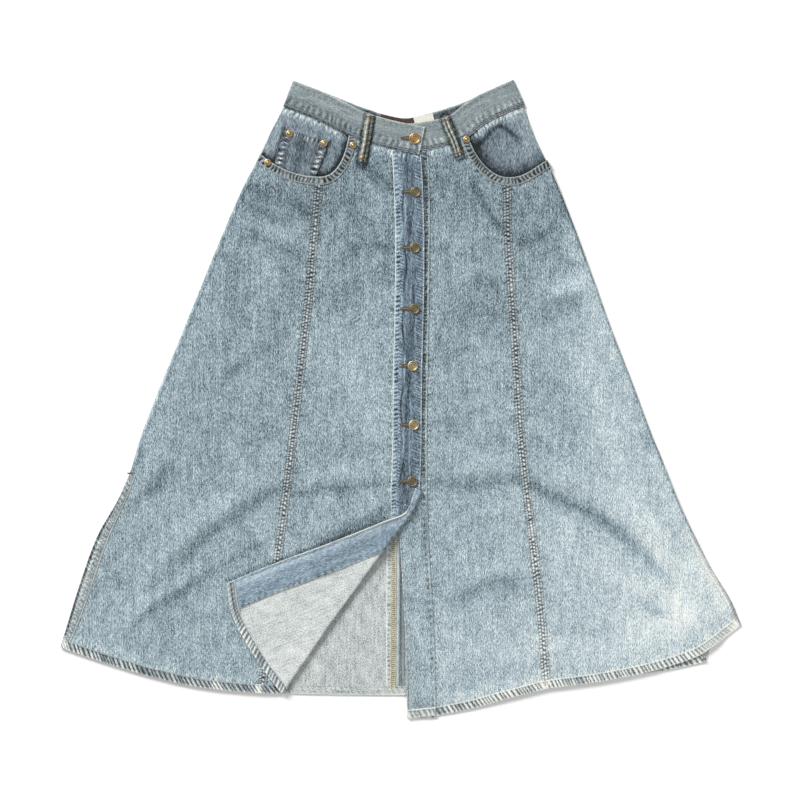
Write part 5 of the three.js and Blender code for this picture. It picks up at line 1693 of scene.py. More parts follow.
@dataclass
class Placket:
    """The button bands: the overlap with the buttonholes and the underlap with the buttons."""

    width: float = PLACKET
    thickness: float = CLOTH
    foot_y: float = -188.0
    columns: int = 34
    rows: int = 330

    def overlap(self) -> Grid:
        """The overlap, from its stitched side to its free edge and down to the turned-back corner.

        Returns:
            The band's grid.
        """
        shares = rows_down(self.rows, 560)
        edge_top = float(level(SEAM_FRONT_RIGHT, 30)) - 0.6
        stitched_top = float(level(SEAM_FRONT_RIGHT, 30 - self.width)) - 0.6
        y = edge_top + (self.foot_y - edge_top) * shares
        fold = crossing(FOLD_LINE, y) - 1.0
        right = np.stack([np.where(y < FOLD_LINE[0][1], np.minimum(fold, 27.0), crossing(OVERLAP_EDGE, y)), y], -1)
        y = stitched_top + (self.foot_y - stitched_top) * shares
        left = np.stack([crossing(OVERLAP_EDGE, y) - self.width, y], -1)
        widths = np.linalg.norm(right - left, axis=1)
        across = np.linspace(0, 1, self.columns)[None] + 0 * widths[:, None]
        top = across_line([(x, y - 0.6) for x, y in SEAM_FRONT_RIGHT], left[0, 0], right[0, 0])
        plan = quilt(left, right, top, Line(np.stack([left[-1], right[-1]])), across)
        x, y = plan[..., 0], plan[..., 1]
        s = across * widths[:, None]
        rise, shade = self.worked(s, widths[:, None] - s, 380 - y)
        return Grid.over(plan, top_of(LAY.panel_over)(x, y) + rise, 0.33 + shade, self.thickness).gathered(top, 45)

    def worked(self, s: Array, from_edge: Array, run: Array) -> tuple[Array, Array]:
        """How the overlap's stitching, turnings and wear shape it.

        Args:
            s: the distance from its stitched side.
            from_edge: the distance from its free edge.
            run: how far down it each point is.

        Returns:
            The height and the change of tone.
        """
        rungs = Gathers(5.8, 41).uneven(run + 0.3 * s)
        bites = Gathers(4.3, 42).uneven(run - 0.4 * s)
        lane = smoothstep(s, 0.8, 2.0) * (1 - smoothstep(s, 11, 14))
        near = 1 - smoothstep(s, 6, 9)
        turning = self.wavering(s, run, 14.0, 1.8, 23, 1.2)
        cracks = (self.wavering(s, run, 17.0, 1.6, 27, 1.1) + self.wavering(s, run, 24.0, 3.5, 61, 1.0)
                  + 0.8 * self.wavering(s, run, 30.5, 2.2, 38, 1.2))
        furrows = self.wavering(s, run, 20.0, 2.0, 45, 1.3) + self.wavering(s, run, 27.0, 2.6, 33, 1.2)
        middle = smoothstep(s, 16, 19) * smoothstep(from_edge, 9, 14)
        pale = 1.6 * hump(s, 0, 1.3) * (1 + 0.5 * bites) + hump(from_edge, 0, 1.3) * (1 + rungs)
        by_edge = (1 - middle) * smoothstep(s, 18, 22)
        lower = smoothstep(run, 20, 90)
        drawn = (0.65 + 0.25 * lower) * (rungs * near + 0.8 * bites * (1 - near))
        shade = 0.06 * lane - lane * drawn - 0.4 * turning - 0.09 * middle
        shade += 0.26 * cracks - 0.18 * furrows - 0.03 * by_edge + 0.5 * by_edge * bites + 0.48 * pale
        return 0.5 * lane - 0.9 * lane * rungs - 0.6 * turning + 0.3 * cracks, shade

    @staticmethod
    def wavering(s: Array, run: Array, at: float, sway: float, turn: float, width: float) -> Array:
        """A crease that sways down the band, deeper in some places than in others.

        Args:
            s: the distance from the band's stitched side.
            run: how far down the band each point is.
            at: the crease's mean distance from that side.
            sway: how far it sways.
            turn: how fast it sways.
            width: how wide it is.

        Returns:
            The crease's depth at each point, from 0 to 1.
        """
        middle = at + sway * (np.sin(run / turn) + 0.5 * np.sin(run / (0.41 * turn) + at))
        return hump(s, middle, width) * (0.55 + 0.45 * np.sin(run / (0.7 * turn) + 2 * at))

    @staticmethod
    def buttoned(s: Array, run: Array) -> tuple[Array, Array]:
        """How the underlap's stitching shapes it, from the distance from its free edge and the run.

        Args:
            s: the distance across the strip.
            run: the distance along it.

        Returns:
            The height and the change of tone.
        """
        drawn = Gathers(9.5, 43).wave(run + 0.2 * s) * hump(s, 38.3, 2.6)
        above = 1 - smoothstep(run, 480, 510)
        small = Gathers(5.2, 46).wave(run) * smoothstep(s, 34, 36) * (1 - smoothstep(s, 40, 42)) * above
        shade = 0.1 * hump(s, 0, 1.4) - 0.36 * drawn - 0.5 * small + 0.06 * above * smoothstep(s, 33, 35)
        return -0.5 * drawn, shade + (0.2 + 0.16 * above) * hump(s, 42.4, 1.0) * (0.7 + drawn)

    def build(self) -> None:
        """Makes the bands with their stitching."""
        grid, lift = self.overlap(), self.thickness / 2 + THREAD_LIFT
        MAKER.seat(MAKER.cloth("overlap_band", [grid], self.thickness, RUBBED_CLOTH), "denim")
        Stitching("overlap_stitches", radius=0.36).along(grid.line(0.02, lift)).sewn()
        Stitching("overlap_edge_stitches", TAN_THREAD, radius=0.4).along(grid.line(0.965, lift)[:-40]).sewn()
        underlap = down_line(UNDERLAP_EDGE, (-2, float(level(SEAM_FRONT_LEFT, -2)) - 0.6), (10, -478.5))
        grid = Ribbon(underlap, top_of(LAY.panel), self.width, 0.0, lambda x, y: wash_and_shade(x, y) - 0.02,
                      thickness=self.thickness, step=1.8, columns=self.columns, pattern=self.buttoned).grid()
        MAKER.seat(MAKER.cloth("underlap_band", [grid], self.thickness, BLUE_CLOTH), "denim")
        Stitching("underlap_stitches").along(grid.line(0.975, lift)).sewn()
        Stitching("underlap_edge_stitches", TAN_THREAD, radius=0.4).along(grid.line(0.05, lift)).sewn()
        foot = Ribbon(across_line(HEM_LEFT, 10.6, 53), top_of(LAY.panel, DOUBLE_CLOTH), HEM_DEPTH, 0.0, 0.8,
                      Pucker.ROPING, 7.2, 47, 0.6, 0.4, columns=12, worn_right=0.25, worn_left=0.25, slant=0.4)
        Seams().strip("underlap_hem", foot, (0.1, 0.84))


@dataclass
class FlapTrim:
    """What is sewn to the wrong side of the turned-back corner: the band's facing and the turned hem."""

    facing: float = PLACKET
    hem: float = 12.5

    def build(self) -> None:
        """Makes the facing and the hem on the corner."""
        panels = CentrePanels()
        _, flap = panels.right()
        upper = flap.points
        rows = upper.shape[0]
        lengths = np.linalg.norm(np.diff(upper, axis=1), axis=2)
        reach = np.concatenate([np.zeros((rows, 1)), np.cumsum(lengths, 1)], 1)
        total = reach[:, -1]
        columns = np.linspace(0, 1, 25)
        start = np.maximum(total - self.facing, 1.0)
        wanted = start[:, None] + (total - start)[:, None] * columns
        strip = np.stack([np.stack([np.interp(wanted[r], reach[r], upper[r, :, k]) for k in range(3)], -1)
                          for r in range(rows)])
        run = reach_of(strip[:, -1])[:, None] + 0 * columns
        from_seam = wanted - start[:, None]
        drawn = Gathers(8.0, 47).wave(run + 0.3 * from_seam)
        from_edge = total[:, None] - wanted
        tone = 0.45 + 0.15 * (1 - smoothstep(from_edge, 9, 19)) + 0.26 * hump(from_edge, 0, 1.4)
        tone = tone - 0.22 * hump(from_edge, 3.2, 1)
        tone = tone + (0.2 - 0.75 * drawn) * np.exp(-from_seam / 5) + 0.08 * hump(from_seam, 0, 1.5)
        lift = CLOTH + 0.4 * drawn * np.exp(-from_seam / 6) + 0.1
        outward = np.cross(np.gradient(strip, axis=1), np.gradient(strip, axis=0))
        strip = strip + outward / np.linalg.norm(outward, axis=-1, keepdims=True) * lift[..., None]
        weave = np.stack([from_seam, run], -1)
        facing = Grid.loose(strip[:, ::-1], tone[:, ::-1], weave[:, ::-1], run)
        piece = MAKER.cloth("corner_facing", [facing], CLOTH, RUBBED_CLOTH)
        MAKER.seat(piece, "dark_denim", "placket_facing")
        lift = CLOTH / 2 + THREAD_LIFT
        threads = Stitching("corner_facing_stitches").along(facing.line(0.03, lift)).along(facing.line(0.96, lift))
        threads.sewn("dark_denim")
        self.hem_turn(upper[:, panels.turn_steps:])

    def hem_turn(self, upper: Array) -> None:
        """The hem on the corner's wrong side, roped and worn like the rest of the hem.

        Args:
            upper: the corner's points, by row and column.
        """
        foot, inner = upper[-1], upper[-7]
        reach = reach_of(foot)
        shares = reach[-1] - np.arange(0, reach[-1], 1.7)
        line = np.stack([np.interp(shares, reach, foot[:, k]) for k in range(3)], -1)
        heading = left_of(line[:, :2])
        towards = np.sign(((inner - foot)[:, :2].mean(0)) @ heading.mean(0))
        u = np.linspace(0, 1, 10)[None]
        points = np.repeat(line[:, None], 10, 1)
        points[..., :2] += towards * heading[:, None] * (u * self.hem)[..., None]
        run = np.broadcast_to(reach[-1] - shares[:, None], points.shape[:2])
        wave = Gathers(6.8, 48).wave(run + 0.6 * u * self.hem)
        window = (1 - smoothstep(u, 0.72, 0.95)) * (0.35 + 0.65 * smoothstep(run, 50, 75))
        over_facing = CLOTH * (1 - smoothstep(run, self.facing + 2, self.facing + 12))
        points[..., 2] += CLOTH / 2 + BAND_CLOTH / 2 + 0.15 + 0.6 * wave * window + over_facing
        across = u * self.hem + 0 * run
        tone = 0.6 + 0.55 * (2 * wave - 0.72) * window + 0.2 * hump(across, 0, 1.8)
        upper_part = 1 - smoothstep(run, 60, 100)
        tone = tone + 0.22 * hump(across, self.hem, 1.6)
        tone = tone - 0.2 * hump(across, self.hem - 3.0, 0.9)
        tone = tone - 0.55 * upper_part * hump(across, 6.0, 0.8)
        way = int(towards)
        grid = Grid.loose(points[:, ::way], tone[:, ::way], np.stack([across, run], -1)[:, ::way], run)
        MAKER.seat(MAKER.cloth("corner_hem", [grid], BAND_CLOTH, BAND_FACES), "denim")
        stitched = grid.line(0.88 if towards > 0 else 0.12, BAND_CLOTH / 2 + THREAD_LIFT)
        Stitching("corner_hem_stitches").along(stitched).sewn()


@dataclass
class Waistband:
    """The waistband: a doubled strip from its button end round the back to its buttonhole end, and its labels."""

    depth: float = WAISTBAND_DEPTH
    across: int = 26
    turn_steps: int = 10
    label_cloth: float = 0.8

    def sections(self, table: Points, height: Callable[[Array], Array], step: float = 2.2) -> Array:
        """Sections along a top edge, each from the top to the foot of the band.

        Args:
            table: the top edge's points.
            height: the height of the band's middle along x.
            step: how far apart the sections are.

        Returns:
            The points, by section and down the band.
        """
        line = Line.through(table)
        top = line.at(np.linspace(0, 1, int(line.length / step)))
        u = np.linspace(0, 1, self.across)[None, :, None]
        plan = top[:, None] - left_of(top)[:, None] * u * self.depth
        z = np.broadcast_to(height(top[:, 0])[:, None], plan.shape[:2])
        return np.concatenate([plan, z[..., None]], -1)

    def turned(self, section: Array, to_z: float, outward_x: float) -> Array:
        """Sections round a side fold, from one layer to the other.

        Args:
            section: the last section of the first layer.
            to_z: the height of the other layer.
            outward_x: the sign of x on the fold's outside.

        Returns:
            The points of the fold's sections.
        """
        down = (section[-1] - section[0])[:2]
        down = down / np.linalg.norm(down)
        outward = np.array([-down[1], down[0]])
        outward *= np.sign(outward[0] * outward_x)
        angles = math.pi * np.arange(1, self.turn_steps) / self.turn_steps
        from_z = section[0, 2]
        made = np.repeat(section[None], len(angles), 0)
        made[..., :2] += (outward * abs(to_z - from_z) / 2)[None, None] * np.sin(angles)[:, None, None]
        made[..., 2] = (from_z + (to_z - from_z) * (1 - np.cos(angles)) / 2)[:, None]
        return made

    def grid(self) -> Grid:
        """The whole band as one grid.

        Returns:
            The grid.
        """
        half = DOUBLE_CLOTH / 2
        front_left = self.sections(WAIST_FRONT_LEFT, lambda x: LAY.waist(x, False) + half)
        back = self.sections(WAIST_BACK, lambda x: half + 0.0 * x)[::-1]
        front_right = self.sections(WAIST_FRONT_RIGHT, lambda x: LAY.waist(x, True) + half)
        points = np.concatenate([
            front_left, self.turned(front_left[-1], half, 1.0),
            back, self.turned(back[-1], float(front_right[0, 0, 2]), -1.0), front_right,
        ]).transpose(1, 0, 2)
        run = np.broadcast_to(reach_of(points[self.across // 2])[None], points.shape[:2])
        s = np.broadcast_to((np.linspace(0, 1, self.across) * self.depth)[:, None], points.shape[:2])
        foot = self.depth - s
        x = points[..., 0]
        drawn = Gathers(8.8, 51).wave(run + 1.2 * np.sin(foot / 3.1 + run / 23))
        bites = Gathers(4.8, 52).wave(run - 0.3 * s)
        on_right = 1 - smoothstep(x, -40, 20)
        sewn = 0.26 * hump(foot, 4.4, 1.0) * (0.5 + 1.5 * bites) * (1 - 0.6 * on_right)
        sewn = sewn + 0.24 * hump(foot, 1.5, 0.9) * (0.5 + 1.5 * drawn)
        lane = smoothstep(foot, 5, 7) * (1 - smoothstep(foot, 11, 20))
        shade = 0.5 * (Gathers.mean - drawn) * lane - 1.25 * sewn - 0.14 * drawn * hump(s, 5, 3)
        shade = shade - on_right * (0.12 * (1 - smoothstep(foot, 15, 27)) - 0.02)
        shade = shade + 0.1 * (1 - on_right) * hump(foot, 0, 1.2)
        ends = np.minimum(run, run.max() - run)
        worn = 0.26 * hump(s, 0, 1.5) + 0.35 * hump(ends, 0, 1.6)
        # The band's tone, less the painted shadow and kept dye beside the belt loops.
        tone = 0.47 + shade + worn - loop_shadow_and_dye(x, points[..., 1])
        inside_back = (points[..., 2] < 2.0) & (s > 2.2)
        tone = np.where(inside_back, tone - 0.22, tone)
        points = points.copy()
        outward = np.sign(np.gradient(points[..., 0], axis=1))
        points[..., 2] += outward * 0.35 * (drawn - 0.4) * hump(foot, 5, 4) * (points[..., 2] > 2.5)
        return Grid.loose(points, tone, np.stack([s, run], -1), run)

    def build(self) -> None:
        """Makes the band, its topstitching and the labels inside its back."""
        grid = self.grid()
        band = MAKER.cloth("waistband_cloth", [grid], DOUBLE_CLOTH, (BAND_DENIM, BAND_DENIM, BAND_DENIM))
        threads = Stitching("waistband_stitches")
        count = grid.points.shape[0] - 1
        for depth in (3.0, self.depth - 2.6):
            row = int(round(depth / self.depth * count))
            columns = grid.points[row]
            front = np.flatnonzero(columns[:, 2] > 4.3)
            breaks = np.flatnonzero(np.diff(front) > 1)
            for part in np.split(front, breaks + 1):
                if len(part) > 8:
                    threads.along(columns[part] + np.array([0, 0, DOUBLE_CLOTH / 2 + 0.12]))
        for x, is_over in ((31.5, True), (-0.5, False)):
            table = WAIST_FRONT_RIGHT if is_over else WAIST_FRONT_LEFT
            y = float(level(table, x))
            z = float(LAY.waist(np.array(x), is_over)) + DOUBLE_CLOTH + 0.1
            threads.along(np.array([[x, y - 3, z], [x, y - self.depth + 3, z]]))
        threads.sewn()
        MAKER.seat(band, "denim", "waistband")
        self.labels()

    def labels(self) -> None:
        """The bare labels sewn inside the back of the band."""
        top = [(x, y - 1.5) for x, y in WAIST_BACK]
        labels = (("inner_label", BROWN_LEATHER, -30, 18, 24), ("care_label", LABEL_TAPE, 19, 48, 20))
        for name, finish, x0, x1, depth in labels:
            strip = Ribbon(across_line(top, x0, x1), lambda x, y: np.full_like(x, DOUBLE_CLOTH + 0.25), 0.0, depth,
                           thickness=self.label_cloth, step=2.0, columns=12, crown=0.0)
            piece = MAKER.cloth(f"{name}_patch", [strip.grid()], self.label_cloth, (finish, finish, finish))
            MAKER.seat(piece, name, name)


@dataclass
class Pockets:
    """The scoop pockets: the cloth behind each mouth, the turned edge round it and the coin pocket."""

    band: float = POCKET_BAND
    coin_corners: Points = ((-173.5, 406.5), (-106, 388), (-192, 346), (-131, 325))

    def facing(self, is_right: bool) -> Grid:
        """The cloth behind a pocket mouth.

        Args:
            is_right: whether it is on the wearer's right.

        Returns:
            The cloth's grid.
        """
        shares = np.linspace(0, 1, 50)
        if is_right:
            bottom = Line.bezier((-219, 347), (-190, 308), (-90, 294), (-57, 360))
            left = down_line(SIDE_RIGHT, (-174.5, float(level(SEAM_FRONT_RIGHT, -174.5))), (-219, 347)).at(shares)
            right = Line.through([(-58, float(level(SEAM_FRONT_RIGHT, -58))), (-57, 360)]).at(shares)
            top = across_line(SEAM_FRONT_RIGHT, -174.5, -58)
        else:
            bottom = Line.bezier((83, 372), (105, 300), (190, 288), (229, 336))
            left = Line.through([(83, float(level(SEAM_FRONT_LEFT, 83))), (83, 372)]).at(shares)
            right = down_line(SIDE_LEFT, (183, float(level(SEAM_FRONT_LEFT, 183))), (229, 336)).at(shares)
            top = across_line(SEAM_FRONT_LEFT, 83, 183)
        plan = cut_out(left, right, top, bottom, 40)
        x, y = plan[..., 0], plan[..., 1]
        mouths = MOUTHS[:2] if is_right else MOUTHS[2:]
        distance = np.minimum.reduce([line.nearest(x, y)[0] for line in mouths])
        waist, _ = top.nearest(x, y)
        # Painted shadow under the turned edge of the pocket mouth.
        mouth_shadow = hump(distance, 0, 7.0 if is_right else 13.0)
        if is_right:
            # Painted shadow round the coin pocket's outline, darker on its side towards the side seam.
            outline = Line(np.array([(-175.5, 406.5), (-194, 346), (-129, 323), (-104, 388)]))
            around, _ = Line(outline.at(np.linspace(0, 1, 120))).nearest(x, y)
            tone = 0.37 + 0.08 * (1 - smoothstep(x, -200, -150)) - 0.4 * mouth_shadow
            tone = tone - (0.2 + 0.22 * (x < -150)) * hump(around, 0, 2.2)
        else:
            # A crease that isn't modelled, painted as a sharp dark line of shade and a broader softer one.
            crease, _ = Line.through([(108, 374), (124, 388), (146, 410), (160, 404), (174, 392)]).nearest(x, y)
            tone = 0.37 + 0.1 * smoothstep(x, 150, 200) - 0.36 * mouth_shadow
            tone = tone - 0.32 * hump(crease, 0, 3.0) - 0.07 * hump(crease, 0, 9.0)
        # Painted shadow right at the mouth's edge, and the painted shadow beside the belt loops.
        tone = tone + 0.1 * hump(waist, 0, 16) - 0.2 * hump(distance, 0, 3.0) - loop_shadow_and_dye(x, y)
        return Grid.over(plan, LAY.floor(x, y), tone).beside([(top, 1.0)]).gathered(top, 83 if is_right else 84)

    def edge(self, is_right: bool) -> Grid:
        """The turned edge round a pocket mouth.

        Args:
            is_right: whether it is on the wearer's right.

        Returns:
            The edge's grid.
        """
        if is_right:
            line = Line.joined(MOUTH_RIGHT_SIDE, MOUTH_RIGHT_WAIST)
        else:
            line = Line.joined(MOUTH_LEFT_WAIST, MOUTH_LEFT_SIDE)
        base = LAY.panel_over if is_right else LAY.panel
        # The band's tone, less the painted shadow and kept dye beside the belt loops.
        strip = Ribbon(line, top_of(base), 0.0, self.band, lambda x, y: 0.33 - loop_shadow_and_dye(x, y), Pucker.LADDER, 5.4,
                       61 if is_right else 63, 0.5, 0.62, step=1.3, columns=16,
                       worn_left=0.06 if is_right else -0.08, worn_right=-0.1)
        return strip.grid()

    def build(self) -> None:
        """Makes both pockets and the coin pocket."""
        for name, is_right in (("right", True), ("left", False)):
            facing = MAKER.cloth(f"{name}_pocket_backing", [self.facing(is_right)], CLOTH, SHADED_CLOTH)
            MAKER.seat(facing, "dark_denim", f"{name}_pocket_facing")
            grid = self.edge(is_right)
            edge = MAKER.cloth(f"{name}_pocket_band", [grid], BAND_CLOTH, (BAND_DENIM, DENIM_INSIDE, SHADED_EDGE))
            MAKER.seat(edge, "denim", f"{name}_pocket_edge")
            rows = Stitching(f"{name}_pocket_stitches", TAN_THREAD, radius=0.36)
            for share in (0.14, 0.72):
                rows.along(grid.line(share, BAND_CLOTH / 2 + THREAD_LIFT))
            rows.sewn()
        self.coin_pocket()

    def coin_pocket(self) -> None:
        """The coin pocket on the right facing, with its turned mouth and double stitching."""
        shares = np.linspace(0, 1, 44)
        top_left, top_right, foot_left, foot_right = self.coin_corners
        left, right = (Line.through(ends).at(shares) for ends in ((top_left, foot_left), (top_right, foot_right)))
        top, bottom = Line.through([top_left, top_right]), Line.through([foot_left, foot_right])
        plan = cut_out(left, right, top, bottom, 26)
        x, y = plan[..., 0], plan[..., 1]
        side = np.minimum(Line(left).nearest(x, y)[0], Line(right).nearest(x, y)[0])
        mouth, run = top.nearest(x, y)
        drawn = Gathers(6.5, 65).wave(run)
        rungs = Gathers(7.5, 66).uneven(mouth + 30 + 0.3 * x)
        bites = Gathers(3.6, 67).uneven(mouth + 30 - 0.4 * x)
        beside = hump(side, 6.0, 3.6) * smoothstep(mouth, 8, 12)
        tone = 0.28 + 0.31 * hump(mouth, 0, 1.2) + (0.34 - 1.15 * drawn) * hump(mouth, 5.5, 3.2)
        tone = tone - 0.24 * hump(side, 0, 1.1) + beside * (0.06 + 1.1 * rungs + 0.8 * bites)
        tone = tone + 0.08 * np.sin(x / 5.3 + y / 9) * np.sin(y / 6.1 - x / 13)
        height = LAY.floor(x, y) + LAYER + 0.2 + 0.4 * drawn * hump(mouth, 6, 4)
        grid = Grid.over(plan, height, tone).beside([(Line(left), 6), (Line(right), 6)])
        piece = MAKER.cloth("coin_pocket_cloth", [grid], CLOTH, SHADED_CLOTH)
        MAKER.seat(piece, "dark_denim", "coin_pocket")
        threads = Stitching("coin_pocket_stitches", TAN_THREAD, radius=0.36)
        for share in (0.06, 0.16, 0.84, 0.94):
            threads.along(grid.line(share, CLOTH / 2 + THREAD_LIFT))
        for row in (2, 7):
            threads.along(grid.points[row] + np.array([0, 0, CLOTH / 2 + 0.3]))
        threads.sewn("dark_denim")


@dataclass
class BeltLoops:
    """The two belt loops on the front of the waistband."""

    width: float = 14.0
    thickness: float = 1.6
    arch: float = 1.4
    ends: Sequence[tuple[str, float, float, float, float]] = BELT_LOOPS

    def build(self) -> None:
        """Makes the loops with their worn edges, stitching and bar tacks."""
        tacks = Stitching("belt_loop_bar_tacks", RUST_THREAD, radius=0.4)
        threads = Stitching("belt_loop_stitches", ECRU_THREAD, radius=0.34)
        for name, x0, y0, x1, y1 in self.ends:
            is_right = x0 < 0
            waist = float(LAY.waist(np.array(max(x0, x1) + self.width), is_right)) + DOUBLE_CLOTH + GAP
            base = LAY.panel_over if is_right else LAY.panel
            foot = height_at(base, x1, y1) + CLOTH + GAP
            line = Line.through([(x0, y0), ((x0 + x1) / 2, (y0 + y1) / 2), (x1, y1)])
            arched = self.arched((x0, y0), line.length, max(waist, foot))
            grid = Ribbon(line, arched, self.width / 2, self.width / 2, 0.1, thickness=self.thickness, step=1.3,
                          columns=20, crown=0.7, pattern=self.rubbed(is_right)).grid()
            cloth = MAKER.cloth(f"{name}_loop_cloth", [grid], self.thickness, (LOOP_DENIM, LOOP_DENIM, SHADED_EDGE))
            MAKER.seat(cloth, "denim", f"{name}_belt_loop")
            for share in (0.24, 0.76):
                threads.along(grid.line(share, self.thickness / 2 + THREAD_LIFT))
            for t in (0.05, 0.95):
                self.tack(tacks, grid, t)
        tacks.sewn()
        threads.sewn()

    def arched(self, start: Place, length: float, seat: float) -> Height:
        """The height of a loop's underside, which arches between its tacked ends.

        Args:
            start: the loop's upper end.
            length: how long the loop is.
            seat: the height of its ends.

        Returns:
            The height function.
        """
        def height(x: Array, y: Array) -> Array:
            """The underside at places in plan.

            Args:
                x: the places' x.
                y: the places' y.

            Returns:
                The heights.
            """
            t = np.hypot(x - start[0], y - start[1]) / length
            free = smoothstep(t, 0.08, 0.25) * (1 - smoothstep(t, 0.75, 0.92))
            return seat + self.arch * np.sin(math.pi * np.clip(t, 0, 1)) * free

        return height

    def rubbed(self, is_right: bool) -> Pattern:
        """How a loop is worn: cream on its raised ridges and dark in the grooves and at its sides.

        Args:
            is_right: whether it is on the wearer's right.

        Returns:
            The pattern across and along the loop.
        """
        folds, bites = Gathers(10.5, 71 if is_right else 72), Gathers(4.0, 81 if is_right else 82)
        ridges = ((-2.4, 2.3, 0.62), (4.6, 0.9, 0.2)) if is_right else ((-3.6, 1.5, 0.5), (1.4, 1.7, 0.56))
        grooves = ((2.6, 1.1, 0.17),) if is_right else ((-1.1, 0.8, 0.16), (4.4, 1.1, 0.2))

        def worn(s: Array, run: Array) -> tuple[Array, Array]:
            """The height and the change of tone across the loop and along it.

            Args:
                s: the distance across the strip.
                run: the distance along it.

            Returns:
                The height and the change of tone.
            """
            aside = s - self.width / 2 + 0.6 * np.sin(run / 8)
            ridge = sum(pale * hump(aside, at, wide) for at, wide, pale in ridges)
            ridge = ridge - sum(dark * hump(aside, at, wide) for at, wide, dark in grooves)
            uneven = 0.02 - 0.26 * folds.uneven(run + 0.5 * s) + 0.16 * bites.uneven(run + 0.8 * np.sin(s))
            return 0.2 * folds.wave(run), ridge + uneven

        return worn

    def tack(self, tacks: Stitching, grid: Grid, t: float) -> None:
        """A bar tack across the loop: close stitches side by side.

        Args:
            tacks: the stitching to add to.
            grid: the loop's grid.
            t: where along the loop.
        """
        row = int(t * (grid.points.shape[0] - 1))
        for share in np.linspace(0.1, 0.9, 15):
            low, high = max(row - 1, 0), min(row + 1, grid.points.shape[0] - 1)
            lift = np.array([0, 0, self.thickness / 2 + 0.2])
            line = grid.line(float(share), 0.0)
            tacks.single(line[low] + lift, line[high] + lift)


@dataclass
class Turned:
    """A round part turned from a profile of radius, height and tone."""

    name: str
    finish: Plain
    profile: Sequence[tuple[float, float, float]]
    steps: int = 40

    def build(self, x: float, y: float, z: float) -> bpy.types.Object:
        """The part at a place, as a closed mesh.

        Args:
            x: the place's x.
            y: the place's y.
            z: the height of its foot.

        Returns:
            The part.
        """
        profile = np.asarray(self.profile, float)
        angles = 2 * math.pi * np.arange(self.steps) / self.steps
        circle = np.column_stack([np.cos(angles), np.sin(angles), np.ones(self.steps)])
        rings = [circle * (radius, radius, height) for radius, height, _ in profile[1:-1]]
        vertices = np.vstack([[[0, 0, profile[0, 1]]], *rings, [[0, 0, profile[-1, 1]]]]) + np.array([x, y, z])
        n, count = self.steps, len(rings)
        faces = [(0, 1 + (i + 1) % n, 1 + i) for i in range(n)]
        for k in range(count - 1):
            a, b = 1 + k * n, 1 + (k + 1) * n
            faces += [(a + i, a + (i + 1) % n, b + (i + 1) % n, b + i) for i in range(n)]
        a = 1 + (count - 1) * n
        faces += [(a + i, a + (i + 1) % n, len(vertices) - 1) for i in range(n)]
        piece = MAKER.mesh(self.name, vertices, faces, [self.finish])
        tone = np.concatenate([[profile[0, 2]], np.repeat(profile[1:-1, 2], n), [profile[-1, 2]]])
        attach(piece.data, "tone", "FLOAT", tone)
        piece.data.set_sharp_from_angle(angle=math.radians(40))
        return piece


